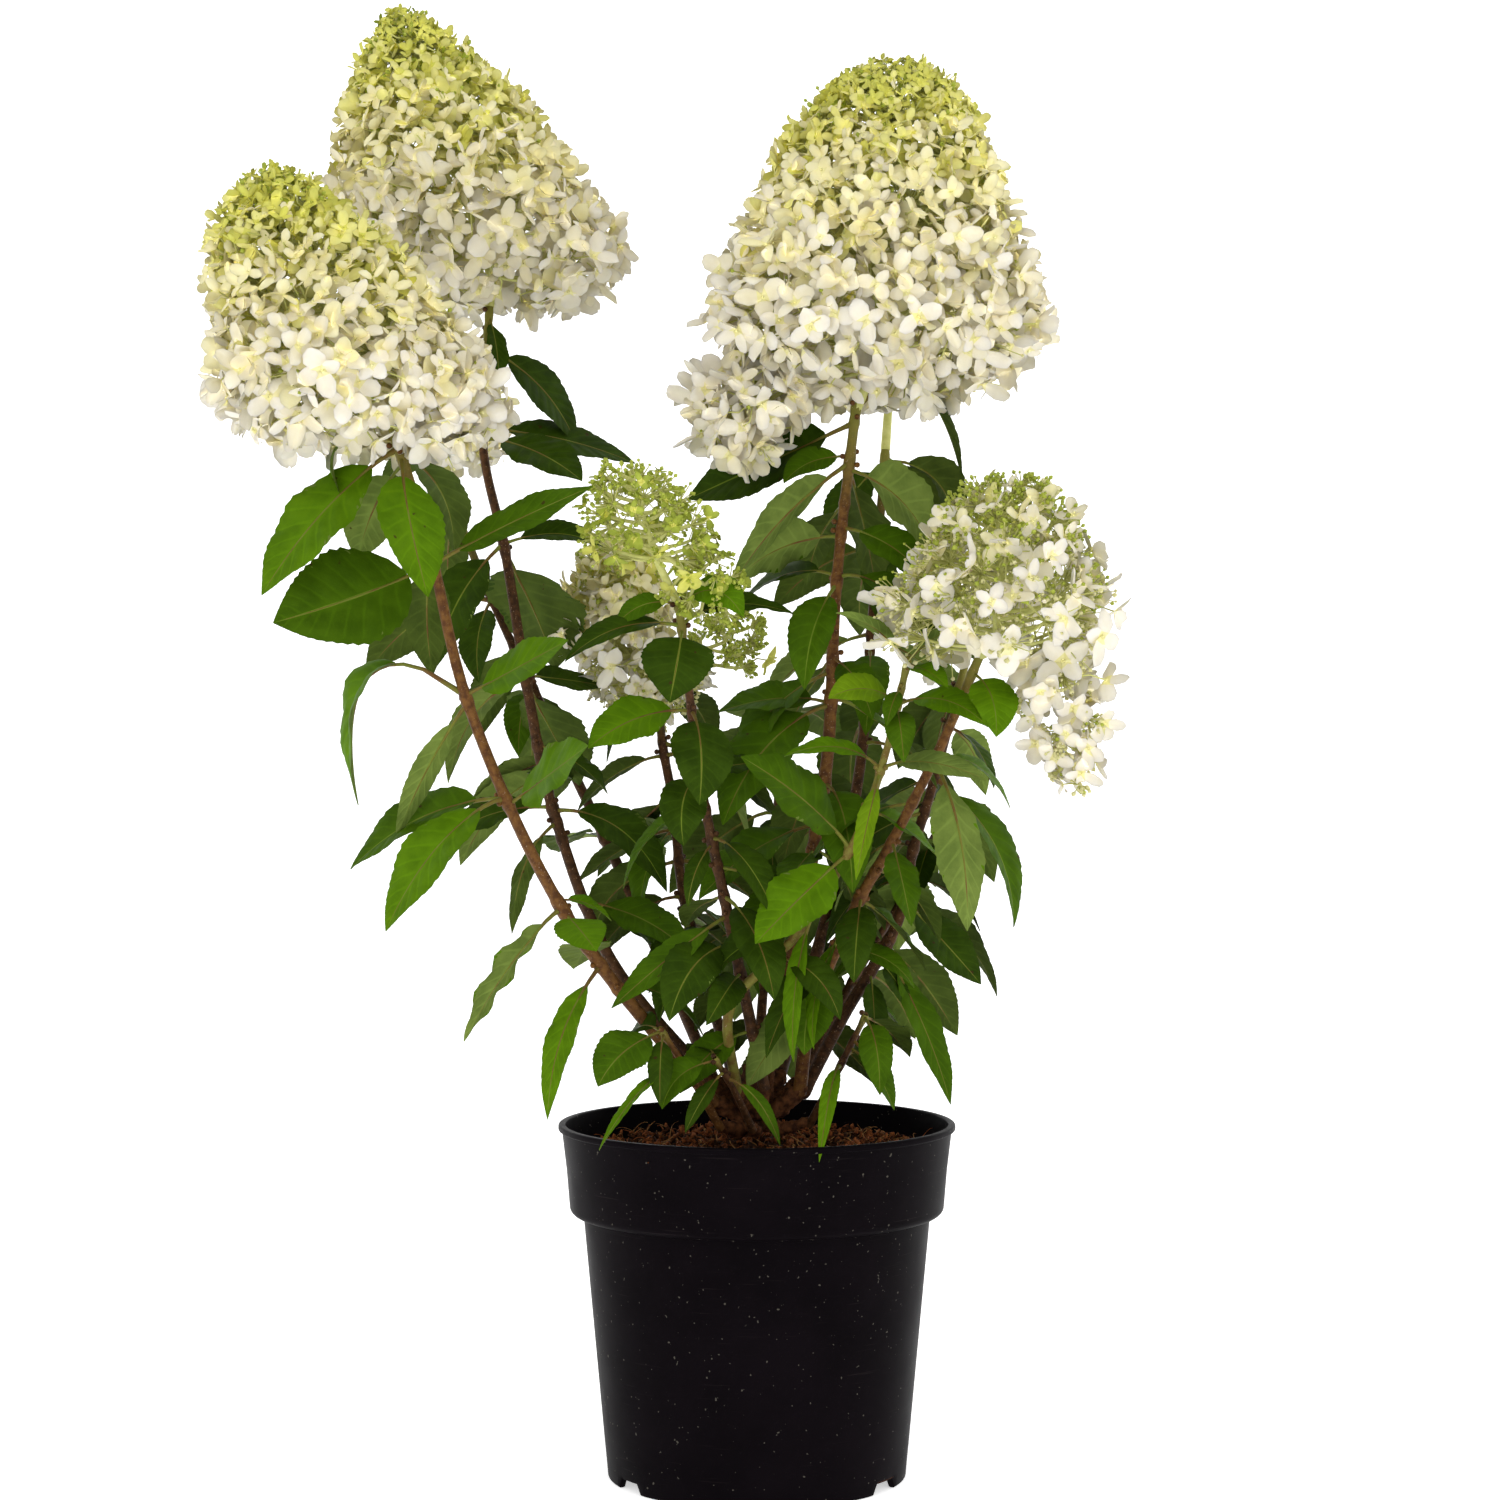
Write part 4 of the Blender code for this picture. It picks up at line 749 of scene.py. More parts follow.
class SmoothCurve:
    """A smooth curve through given points, read by the share of its length."""

    def __init__(self, points):
        points = [np.array(point, float) for point in points]
        ends = [2 * points[0] - points[1]] + points + [2 * points[-1] - points[-2]]
        samples = []
        for before, start, end, after in zip(ends, ends[1:], ends[2:], ends[3:]):
            for step in range(CURVE_STEPS):
                samples.append(self.blend(before, start, end, after, step / CURVE_STEPS))
        self.samples = np.array(samples + [points[-1]])
        lengths = np.linalg.norm(np.diff(self.samples, axis=0), axis=1)
        self.marks = np.concatenate([[0], np.cumsum(lengths)])
        self.length = self.marks[-1]

    @staticmethod
    def blend(before, start, end, after, share):
        return 0.5 * (
            2 * start
            + (end - before) * share
            + (2 * before - 5 * start + 4 * end - after) * share**2
            + (3 * start - before - 3 * end + after) * share**3
        )

    def point(self, share):
        mark = np.asarray(share, float) * self.length
        return np.stack([np.interp(mark, self.marks, self.samples[:, axis]) for axis in range(3)], axis=-1)

    def direction(self, share):
        ahead, behind = np.minimum(share + DIRECTION_REACH, 1), np.maximum(share - DIRECTION_REACH, 0)
        return unit(self.point(ahead) - self.point(behind))


def foot_point(shoot):
    """Where a shoot starts on the crown."""
    lift = UP * shoot.height * MM
    if shoot.heading is None:
        return MIDDLE_FOOT + lift
    radius = FOOT_RING_RADIUS if shoot.bare else BASAL_RING_RADIUS
    return radius * level_way(math.radians(shoot.heading)) + lift


def shoot_curve(name):
    shoot = SHOOTS[name]
    return SmoothCurve([foot_point(shoot)] + [np.array(point) * MM for point in shoot.route])


def ring_frames(directions):
    """For each direction along a limb, two directions square to it that don't spin."""
    across = []
    last, _ = square_to(directions[0])
    for direction in directions:
        last = unit(last - direction * (last @ direction))
        across.append(last)
    across = np.array(across)
    return across, np.cross(directions, across)


def add_tube(pile, centres, radii, sides, finish, relief=1.0, shade=None):
    """A tube round a line of centres; relief multiplies the radius, ring by side."""
    across, other = ring_frames(unit(np.gradient(centres, axis=0)))
    reach = np.asarray(radii)[:, None] * np.ones(sides) * relief
    rings = centres[:, None] + reach[..., None] * fan(sides, across[:, None], other[:, None])
    pile.add_rings(rings, finish, None if shade is None else np.repeat(shade, sides))


def add_ball(pile, centre, axis, radius, finish, sides=6):
    levels = SMALL_BALL_LEVELS if sides < 6 else BALL_LEVELS
    spread = np.sqrt(1 - levels**2)
    rings = levels[:, None, None] * axis + spread[:, None, None] * fan(sides, *square_to(axis))
    pile.add_rings(centre + radius * rings, finish)


class Paint:
    """A material with its nodes."""

    def __init__(self, name):
        self.material = bpy.data.materials.new(name)
        self.material.use_nodes = True
        self.nodes = self.material.node_tree.nodes
        self.links = self.material.node_tree.links
        self.shader = self.nodes["Principled BSDF"]

    def fill(self, node, values):
        """Sets inputs by name, or links them where the value is a node's output. Gives the main output."""
        for name, value in values.items():
            socket = next(item for item in node.inputs if item.name == name and item.enabled)
            if isinstance(value, bpy.types.NodeSocket):
                self.links.new(value, socket)
            else:
                socket.default_value = (*value, 1) if socket.type == "RGBA" else value
        return next(item for item in node.outputs if item.enabled)

    def add(self, kind, values):
        return self.fill(self.nodes.new("ShaderNode" + kind), values)

    def noise(self, grain, detail=2, roughness=0.5, stretch=None):
        """A noise in the plant's own frame, finer along an axis where stretch is larger."""
        where = self.nodes.new("ShaderNodeTexCoord").outputs["Object"]
        if stretch:
            where = self.add("Mapping", {"Vector": where, "Scale": stretch})
        values = {"Vector": where, "Scale": grain, "Detail": detail, "Roughness": roughness}
        return self.add("TexNoise", values)

    def rise(self, value, low, high, most, least=0):
        """Least where the value is up to low, and most where it is high and above."""
        values = {"Value": value, "From Min": low, "From Max": high, "To Min": least, "To Max": most}
        return self.add("MapRange", values)

    def patches(self, grain, low, high, most, least=0, **noise_values):
        """Where a noise is high: spots, dust, scuffs and pores."""
        return self.rise(self.noise(grain, **noise_values), low, high, most, least)

    def shade(self, low, most):
        """The mesh's own shade value, from nothing at low to most at 1."""
        attribute = self.nodes.new("ShaderNodeAttribute")
        attribute.attribute_name = "shade"
        return self.rise(attribute.outputs["Fac"], low, 1, most)

    def mix(self, factor, first, second):
        """The first colour, turned to the second where the factor is 1."""
        node = self.nodes.new("ShaderNodeMix")
        node.data_type = "RGBA"
        return self.fill(node, {"Factor": factor, "A": first, "B": second})

    def mottle(self, light, dark, grain):
        """A colour that wanders between two by a soft noise."""
        ramp = self.nodes.new("ShaderNodeValToRGB")
        low, high = ramp.color_ramp.elements
        low.position, high.position = MOTTLE_RANGE
        low.color, high.color = (*dark, 1), (*light, 1)
        return self.fill(ramp, {"Fac": self.noise(grain, MOTTLE_DETAIL, MOTTLE_ROUGHNESS)})

    def finished(self, colour, roughness, specular, grain, strength, relief):
        """The material, with its colour, its gloss and a fine relief by the grain."""
        bump = self.add("Bump", {"Strength": strength, "Distance": relief, "Height": grain})
        self.fill(self.shader, {
            "Base Color": colour, "Roughness": roughness, "Specular IOR Level": specular, "Normal": bump,
        })
        return self.material


def make_material(name):
    """A finish with its mottling and grain, and what its kind adds: glow, veins, spots or pores."""
    light, dark, roughness, grain, strength = FINISHES[name]
    kind = name.split("_")[0]
    paint = Paint(name)
    colour = paint.mottle(light, dark, grain)
    if kind == "petal":
        paint.shader.subsurface_method = "BURLEY"
        paint.fill(paint.shader, {
            "Subsurface Weight": PETAL_GLOW, "Subsurface Radius": PETAL_GLOW_TINT,
            "Subsurface Scale": PETAL_GLOW_REACH,
        })
    if kind == "leaf" and name != "leaf_rib":
        veins = paint.shade(VEIN_START, UNDERSIDE_VEINS if name in UNDERSIDES else TOP_VEINS)
        colour = paint.mix(veins, colour, [min(1, value * VEIN_PALENESS) for value in light])
        colour = paint.mix(paint.patches(**SPOTS), colour, SPOT_COLOUR)
    if kind == "bark":
        colour = paint.mix(paint.shade(0, 1), colour, FINISHES["bark_green"][0])
        colour = paint.mix(paint.patches(**PORES), colour, PORE_COLOUR)
    specular = SPECULAR.get(kind, OTHER_SPECULAR)
    fine = paint.noise(grain * GRAIN_FINENESS, GRAIN_DETAIL)
    return paint.finished(colour, roughness, specular, fine, strength, GRAIN_RELIEF)


def pot_material():
    """Black moulded plastic: satin, with pale dust specks, faint scuffs and a fine grain."""
    paint = Paint("pot_plastic")
    colour = paint.mottle(*POT_COLOURS, POT_MOTTLE)
    colour = paint.mix(paint.patches(**DUST), colour, DUST_COLOUR)
    colour = paint.mix(paint.patches(**SCUFFS), colour, SCUFF_COLOUR)
    roughness = paint.patches(**POT_ROUGHNESS)
    fine = paint.noise(POT_GRAIN)
    return paint.finished(colour, roughness, SPECULAR["pot"], fine, POT_GRAIN_STRENGTH, POT_GRAIN_RELIEF)


class LeafCurve:
    """A leaf's midrib from its root in the stem to its tip, and the blade's directions along it."""

    def __init__(self, root, shape):
        drop = math.radians(shape["hang"])
        self.root = root
        self.length = shape["length"] * MM
        self.along = level_way(math.radians(shape["heading"])) * math.cos(drop) - UP * math.sin(drop)
        self.across = unit(np.cross(UP, self.along))
        self.out = np.cross(self.along, self.across)
        self.arch, self.skew, self.sway = shape["arch"], shape["skew"], shape["sway"]
        self.roll, self.twist = math.radians(shape["roll"]), math.radians(shape["twist"])

    def point(self, share):
        early = share**self.skew
        bend = 4 * early * (1 - early)
        rise = self.arch * bend
        sway = self.sway * bend
        return self.root + self.length * (
            share[..., None] * self.along + rise[..., None] * self.out + sway[..., None] * self.across
        )

    def frame(self, share):
        step = 0.01
        ahead = unit(self.point(np.clip(share + step, 0, 1)) - self.point(np.clip(share - step, 0, 1)))
        angle = self.roll + self.twist * share
        across = np.cos(angle)[..., None] * self.across + np.sin(angle)[..., None] * self.out
        normal = unit(np.cross(ahead, across))
        return unit(np.cross(normal, ahead)), normal


def blade_outline(share):
    """Half width of the blade as a share of its widest."""
    peak = BLADE_BASE_POWER / (BLADE_BASE_POWER + BLADE_TIP_POWER)
    top = peak**BLADE_BASE_POWER * (1 - peak) ** BLADE_TIP_POWER
    return share**BLADE_BASE_POWER * (1 - share) ** BLADE_TIP_POWER / top


def blade_shares(row, spread, tooth):
    """How far along the blade each point lies, where rows sweep forward as the side veins do."""
    middle = (BLADE_START + BLADE_REACH * row / (BLADE_ROWS - 1))[:, None]
    share = middle + VEIN_SWEEP * spread**VEIN_BEND * 4 * middle * (1 - middle)
    return np.clip(share + tooth * TOOTH_LEAN / BLADE_ROWS, *BLADE_ENDS)


def blade_grid(curve, shape, phases):
    """Upper skin, normals, share of half width and vein shade, in rows that follow the side veins."""
    row = np.arange(BLADE_ROWS)
    side = BLADE_COLUMNS[None, :]
    spread = np.abs(side)
    margin, rib = spread == 1, spread < RIB_WIDTH
    tooth = margin * ((row % 2 == 1) & (row < BLADE_ROWS - 2))[:, None]
    share = blade_shares(row, spread, tooth)
    widest = shape["width"] / 2 * curve.length
    half = widest * blade_outline(share) * (1 + tooth * TOOTH_HEIGHT * (1 - share) ** TOOTH_FADE)
    vein_phase = (row % ROWS_PER_VEIN / ROWS_PER_VEIN)[:, None]
    quilt = np.sin(math.pi * vein_phase) * ~rib * (1 - QUILT_FADE * spread) * half / widest
    waves = np.sin(shape["ruffles"] * math.tau * share + np.where(side > 0, *phases))
    lift = half * shape["fold"] * (spread - FOLD_BEND * spread**2)
    lift = lift + shape["ruffle"] * waves * spread**2 * half + QUILT_HEIGHT * curve.length * quilt
    lift = lift - rib * RIB_DEPTH * curve.length * (1 - share)
    aside = side * half * math.cos(math.atan(shape["fold"] * FOLD_NARROWING))
    distance = PETIOLE_SHARE + (1 - PETIOLE_SHARE) * share
    across, normal = curve.frame(distance)
    upper = curve.point(distance) + aside[..., None] * across + lift[..., None] * normal
    vein = np.where(rib, 1.0, (vein_phase == 0) * np.where(margin, EDGE_VEIN, 1.0))
    return upper, normal, spread, vein


def add_petiole(pile, curve):
    """The leaf's stalk, which sinks under the blade and runs on as its rib."""
    share = np.linspace(0, PETIOLE_END, PETIOLE_RINGS)
    radius = np.interp(share, PETIOLE_SHARES, PETIOLE_RADII) * MM * math.sqrt(curve.length / TYPICAL_LEAF)
    _, outward = curve.frame(share)
    under = np.interp(share, (0, PETIOLE_SHARE, PETIOLE_SHARE + PETIOLE_MERGE, 1), (0, 0, 1, 1))
    sink = under * (radius / 2 + RIB_DEPTH * curve.length * (1 - share))
    add_tube(pile, curve.point(share) - outward * sink[:, None], radius, PETIOLE_SIDES, "petiole")


def add_leaf(pile, curve, shape, rng):
    """A blade with an upper and a lower skin, and its petiole."""
    top = "leaf_" + shape["tint"]
    upper, normal, spread, vein = blade_grid(curve, shape, rng.uniform(0, math.tau, 2))
    gauge = BLADE_THICKNESS * (1 - BLADE_THINNING * spread**3)
    lower = upper - gauge[..., None] * normal
    quads = grid_quads(*vein.shape)
    gaps = len(BLADE_COLUMNS) - 1
    pile.add(upper, quads, pile.chosen(np.arange(len(quads)) % gaps == gaps // 2, "leaf_rib", top), vein)
    shaded = top in ("leaf_dark", "leaf_mid") and rng.random() < SHADED_SHARE
    pile.add(lower, quads[:, ::-1], "leaf_shadow" if shaded else "leaf_under", vein)
    add_petiole(pile, curve)


def leaf_places(name):
    """The rows of every leaf of a shoot: those of the table, then those by rule."""
    places = list(LEAVES[name])
    rng = np.random.default_rng(FILLED_SEED + list(SHOOTS).index(name))
    bare, count = SHOOTS[name].bare, FILLED_SHOOTS.get(name, 0)
    for index in range(count):
        share = bare + (FILLED_TOP - bare) * (index + rng.uniform(*FILLED_STEP)) / count
        heading = math.degrees(index * GOLDEN_ANGLE) + rng.uniform(*FILLED_TURN) + FILLED_START
        places.append((share, heading, rng.uniform(*FILLED_HANGS), rng.uniform(*FILLED_LENGTHS)))
    return places


def leaf_shape(name, index, place, depth, rng):
    """How one leaf bends: drawn at random, and then what its row or the rule's table sets."""
    shape = {column: rng.uniform(*reach) for column, reach in LEAF_RANGES.items()}
    shape["arch"] *= LEAF_ARCH
    shape["width"] *= LEAF_WIDTH
    shape["roll"] += FACING_ROLL * math.cos(math.radians(place[1])) * (1 if depth < FRONT_DEPTH else -1)
    shape["tint"] = SHOOTS[name].tints[int(rng.random() < SECOND_TINT_SHARE)]
    shape.update({column: value for column, value in zip(LEAF_COLUMNS, place[1:]) if value is not None})
    return shape | FILLED_LEAF_SHAPES.get((name, index), {})


def build_leaves(group):
    """All leaves of a group's shoots, joined in one piece."""
    pile = Pile(f"leaves_{group}", [name for name in FINISHES if name.startswith(("leaf", "petiole"))])
    for name in LEAF_GROUPS[group]:
        curve = shoot_curve(name)
        for index, place in enumerate(leaf_places(name)):
            rng = np.random.default_rng((list(SHOOTS).index(name), index))
            root = curve.point(place[0])
            shape = leaf_shape(name, index, place, root[1], rng)
            add_leaf(pile, LeafCurve(root, shape), shape, rng)
    pile.build([f"leaves_{name}" for name in LEAF_GROUPS[group]], "leaf")


def bark_relief(rings, rng):
    """Shallow ridges that run along a stem and wander as they go."""
    angles = turned_angles(STEM_SIDES)[None, :]
    along = np.arange(rings)[:, None]
    relief = np.ones((rings, STEM_SIDES))
    for waves, drift, share in BARK_WAVES:
        ridges = np.sin(waves * angles + drift * along + rng.uniform(0, math.tau))
        relief = relief + BARK_DEPTH * share * ridges
    return relief + BARK_DEPTH * BARK_GRIT * rng.uniform(-1, 1, (rings, STEM_SIDES))


def add_side_bud(pile, shoot, centre, axis, rng):
    """A bud in the joint where a leaf grows."""
    across, other = square_to(axis)
    turn = rng.uniform(0, math.tau)
    outward = math.cos(turn) * across + math.sin(turn) * other
    radius = shoot.thin * MM
    place = centre + outward * radius * SIDE_BUD_REACH + axis * radius
    add_ball(pile, place, unit(axis + outward), SIDE_BUD_RADIUS, shoot.bark)


def add_stem(pile, name, rng):
    """A stem that tapers, swells where leaves grow, and turns green towards its tip."""
    shoot, curve = SHOOTS[name], shoot_curve(name)
    joints = sorted({place[0] for place in leaf_places(name)})
    rings = round(curve.length / STEM_RING)
    share = np.linspace(0, 1, rings)
    relief = bark_relief(rings, rng)
    green = np.clip((share - GREEN_TOP) / GREEN_RISE, 0, 1) ** GREEN_POWER
    radius = (shoot.thick + (shoot.thin - shoot.thick) * share) * STEM_SLIMNESS * MM
    for joint in joints:
        distance = (share - joint) * curve.length
        radius = radius * (1 + NODE_SWELL * np.exp(-((distance / NODE_LENGTH) ** 2)))
    add_tube(pile, curve.point(share), radius, STEM_SIDES, shoot.bark, relief, green)
    for joint in joints:
        add_side_bud(pile, shoot, curve.point(joint), curve.direction(joint), rng)


def build_stems():
    """Every stem from the woody crown to its bloom."""
    pile = Pile("stems", ["bark_red", "bark_dark", "bark_green"])
    for number, name in enumerate(SHOOTS):
        add_stem(pile, name, np.random.default_rng(number))
    pile.build([f"bough_{name}" for name in SHOOTS if SHOOTS[name].bare], "stem")


def floret_radius(height, radii):
    """Florets are largest at the foot and shrink towards the top."""
    share = np.clip(height, 0, 1) ** FLORET_SHRINK
    return (radii[0] + (radii[1] - radii[0]) * share) * MM


class Cone:
    """One cone of a bloom: its axis, its lumpy skin and the places of its florets."""

    def __init__(self, spec, seed):
        apex = np.array(spec["apex"]) * MM
        self.base = np.array(spec["base"]) * MM
        self.radius = spec["radius"] * MM
        self.bluntness = spec["bluntness"]
        self.axis = unit(apex - self.base)
        self.length = np.linalg.norm(apex - self.base)
        upright = abs(self.axis @ UP) > UPRIGHT
        self.across = unit(np.cross(DEPTH, UP if upright else self.axis))
        self.other = DEPTH if upright else np.cross(self.axis, self.across)
        self.starts = np.random.default_rng(seed).uniform(0, math.tau, len(BLOOM_LUMPS))

    def fullness(self, height):
        """The skin's distance from the axis as a share of its widest."""
        height = np.asarray(height, float)
        low = np.clip((BLOOM_WIDEST - height) / (BLOOM_WIDEST + BLOOM_UNDERSIDE), 0, 1)
        high = np.clip((height - BLOOM_WIDEST) / (1 - BLOOM_WIDEST), 0, 1)
        top = np.clip(1 - high**BLOOM_SHOULDER, 0, 1) ** self.bluntness
        return np.where(height < BLOOM_WIDEST, np.sqrt(1 - low**2), top)

    def lump(self, height, angle):
        """How far the skin bulges, as a share of its distance from the axis."""
        return sum(
            depth * np.sin(waves * angle + start + turn * height)
            for (waves, turn, depth), start in zip(BLOOM_LUMPS, self.starts)
        )

    def outward(self, angle):
        return math.cos(angle) * self.across + math.sin(angle) * self.other

    def inside(self, height):
        return self.base + self.axis * self.length * height

    def point(self, height, angle, setback):
        reach = self.radius * float(self.fullness(height)) * (1 + self.lump(height, angle)) - setback
        return self.inside(height) + self.outward(angle) * max(reach, 0)

    def normal(self, height, angle):
        step = 0.03
        slope = float(self.fullness(height - step) - self.fullness(height + step)) * self.radius
        return unit(self.outward(angle) * 2 * step * self.length + self.axis * slope)

    def places(self, cover, radii, setback, start):
        """Heights and angles of florets, closer together where they are smaller."""
        heights = np.linspace(*FLORET_HEIGHTS, FLORET_STEPS)
        sizes = floret_radius(heights, radii)
        around = math.tau * np.maximum(self.radius * self.fullness(heights) - setback, 0)
        step = (heights[1] - heights[0]) * self.length
        crowd = np.cumsum(cover * around * step / (FLORET_CROWDING * math.pi * sizes**2))
        for index in range(int(crowd[-1])):
            yield float(np.interp(index + 0.5, crowd, heights)), start + index * GOLDEN_ANGLE


def petal_grid(radius, rows, columns, rng):
    """One petal along +X: a rounded blade that narrows to its claw and cups a little."""
    cup, curl = rng.uniform(*PETAL_CUP), rng.uniform(*PETAL_CURL)
    share = rows[:, None]
    side = columns[None, :]
    body = np.sqrt(np.clip(1 - (2 * share**PETAL_TAPER - 1) ** 2, 0, 1))
    half = radius * rng.uniform(*PETAL_WIDTHS) / 2 * body**PETAL_ROUNDNESS
    ahead = radius * (share - PETAL_BLUNTNESS * side**2 * body * share)
    height = radius * rng.uniform(*PETAL_WAVE)
    wave = height * np.sin(PETAL_RIPPLES * side + rng.uniform(0, math.tau)) * share**2
    rise = radius * (cup * share**2 - curl * share**6) + half * PETAL_DISH * side**2 * cup + wave
    tilt = rng.uniform(*PETAL_TILT)
    return ahead, side * half * math.cos(tilt), rise + side * half * math.sin(tilt)


def add_floret(pile, centre, normal, radius, petal, heart, rng):
    """Four petals round a small bud."""
    across, other = square_to(normal)
    small = radius < SMALL_FLORET
    rows, columns = (SMALL_PETAL_ROWS, SMALL_PETAL_COLUMNS) if small else (PETAL_ROWS, PETAL_COLUMNS)
    quads = grid_quads(len(rows), len(columns))
    finishes = pile.chosen(np.arange(len(quads)) < len(columns) - 1, heart, petal)
    spin = rng.uniform(0, math.pi / 2)
    for number in range(4):
        angle = spin + math.tau * number / 4 + rng.uniform(*PETAL_TURN)
        ahead, aside, rise = petal_grid(radius * rng.uniform(*PETAL_LENGTHS), rows, columns, rng)
        rise = rise + number % 2 * PETAL_LIFT
        along = math.cos(angle) * across + math.sin(angle) * other
        beside = math.cos(angle) * other - math.sin(angle) * across
        pile.add(centre + ahead[..., None] * along + aside[..., None] * beside + rise[..., None] * normal,
                 quads, finishes)
    add_ball(pile, centre + normal * HEART_LIFT, normal, radius * HEART_SHARE, heart, 4)


def petal_finish(value):
    return "petal_" + next(name for least, name in PETAL_TINTS if value > least)


class Panicle:
    """One cone's branches: where each starts, how far its tip lies below the skin, and its tip."""

    def __init__(self, cone, branches, rng):
        self.cone = cone
        self.roots, self.insets, self.tips = [], [], []
        for index, height in enumerate(np.linspace(*BRANCH_HEIGHTS, branches)):
            inset = cone.radius * float(cone.fullness(height)) * rng.uniform(*BRANCH_INSETS)
            self.roots.append(cone.inside(max(0.0, height - BRANCH_DROP)))
            self.insets.append(inset)
            self.tips.append(cone.point(height, index * GOLDEN_ANGLE, inset))
        self.tips = np.array(self.tips)

    def nearest(self, place):
        return self.tips[np.argmin(np.linalg.norm(self.tips - place, axis=1))]


def add_stalk(stalks, kind, start, end, way):
    """A stalk that tapers and bends, and arrives at its end along the way."""
    first, last, sides, rings, bend = STALKS[kind]
    radii = np.linspace(first, last, rings) * MM
    add_tube(stalks, bent_line(start, end, way, bend, rings), radii, sides, "stalk")


def add_branches(stalks, panicle):
    for root, tip in zip(panicle.roots, panicle.tips):
        add_stalk(stalks, "branch", root, tip, unit(tip - root) * 0.8 + panicle.cone.axis * 0.2)


def add_florets(florets, stalks, spec, panicle, rng):
    """An outer layer of florets on the skin, and beneath it a thinner one, yellower partly by its own tone
    and partly as painted shade.
    """
    cone = panicle.cone
    for setback, share, start, yellower in FLORET_LAYERS:
        for height, angle in cone.places(spec["cover"] * share, spec["florets"], setback * MM, start):
            size = floret_radius(height, spec["florets"]) / MM
            depth = (setback + FLORET_SINK * size + rng.uniform(*FLORET_SCATTER) * size) * MM
            centre = cone.point(height, angle, depth)
            lean = cone.axis * FLORET_RISE + rng.normal(0, FLORET_LEAN, 3)
            normal = unit(cone.normal(height, angle) + lean)
            radius = floret_radius(height, spec["florets"]) * rng.uniform(*FLORET_SIZES)
            # The deeper layer's yellower value is partly its own tone and partly painted shade between the
            # petals
            value = height * spec["greening"] + spec["tint"] + yellower + rng.normal(0, FLORET_TINT_SPREAD)
            heart = "petal_heart" if value < LIME_HEART else "petal_lime"
            add_floret(florets, centre, normal, radius, petal_finish(value), heart, rng)
            add_stalk(stalks, "floret", panicle.nearest(centre), centre, normal)


def add_buds(buds, stalks, spec, panicle, rng):
    """Round buds on fine stalks that fan out from the end of each branch."""
    cone = panicle.cone
    for root, tip, inset in zip(panicle.roots, panicle.tips, panicle.insets):
        outward = unit(tip - root)
        for _ in range(spec["buds"]):
            direction = unit(outward + rng.normal(0, BUD_FAN, 3))
            reach = inset * rng.uniform(*BUD_REACH) + rng.uniform(*BUD_SPREAD) * MM
            end = tip + direction * reach
            height = float((end - cone.base) @ cone.axis) / cone.length
            value = height * spec["greening"] + max(spec["tint"], 0) + rng.normal(0, BUD_TINT_SPREAD)
            radius = rng.uniform(*BUD_RADII) * MM
            add_ball(buds, end, direction, radius, "bud_lime" if value > LIME_BUD else "bud_cream", 5)
            add_stalk(stalks, "bud", tip, end, direction)


def add_rachis(stalks, shoot_name, cones):
    """The main stalk from the shoot's tip to the cone's top, and those of its side cones."""
    main = cones[0]
    spine = main.inside(RACHIS_HEIGHTS[:, None])
    curve = SmoothCurve([shoot_curve(shoot_name).point(0.99), main.base, *spine])
    radii = SHOOTS[shoot_name].thin * MM * np.linspace(1, RACHIS_TIP, RACHIS_RINGS)
    add_tube(stalks, curve.point(np.linspace(0, 1, RACHIS_RINGS)), radii, 8, "stalk")
    start = main.base + main.axis * SIDE_START
    for cone in cones[1:]:
        add_stalk(stalks, "side", start, cone.point(SIDE_END, 0, cone.radius), cone.axis)


def build_blooms():
    """Each bloom's florets as a piece, and the stalks and buds of all blooms as two more."""
    petals = [name for name in FINISHES if name.startswith("petal")]
    stalks = Pile("bloom_stalks", ["stalk"])
    buds = Pile("bloom_buds", ["bud_cream", "bud_lime"])
    for number, (name, bloom) in enumerate(BLOOMS.items()):
        rng = np.random.default_rng(BLOOM_SEED + number)
        florets = Pile(f"florets_{name}", petals)
        cones = []
        for order, part in enumerate(bloom["cones"]):
            spec = dict(greening=1.0) | bloom | part
            cones.append(Cone(spec, 10 * number + order))
            share = (spec["radius"] / bloom["cones"][0]["radius"]) ** 2
            panicle = Panicle(cones[-1], max(LEAST_BRANCHES, round(spec["branches"] * share)), rng)
            add_branches(stalks, panicle)
            add_florets(florets, stalks, spec, panicle, rng)
            add_buds(buds, stalks, spec, panicle, rng)
        add_rachis(stalks, bloom["shoot"], cones)
        florets.build([f"bloom_{name}"], "bloom")
    stalks.build((), "bloom")
    buds.build((), "bloom")


def rough(points, lumps):
    """A height for each point, from layers of noise."""
    heights = 0
    for seed, grain, stretch, height in lumps:
        offset = Vector((seed, seed * 2.3, seed * 0.7))
        places = (points * (1, 1, stretch)).reshape(-1, 3)
        values = [noise.fractal(Vector(place) * grain + offset, *NOISE_OCTAVES) for place in places]
        heights = heights + np.reshape(values, points.shape[:-1]) * height * MM
    return heights


def build_compost():
    """A lumpy root ball that fills the pot, with its side a small gap inside the wall."""
    pile = Pile("compost_surface", ["compost"])
    edge = float(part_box("compost")[1].x) - COMPOST_GAP
    shares = np.concatenate([[0.02], np.linspace(0.05, 1, COMPOST_RINGS)])[:, None]
    top = level_rings(shares * edge, 0.0, COMPOST_SIDES)
    top[..., 2] = COMPOST_LEVEL - COMPOST_SINK + rough(top, COMPOST_LUMPS) - COMPOST_FALL * shares**4
    pile.add_rings(top, "compost")
    heights = COMPOST_LEVEL - COMPOST_EDGE_DROP - ROOT_BALL_DEPTHS[:, None]
    side = level_rings(ROOT_BALL_SHARES[:, None] * edge, heights, COMPOST_SIDES)
    side[0] = top[-1]
    pile.add_rings(side, "compost")
    pile.build(["compost"], "compost")


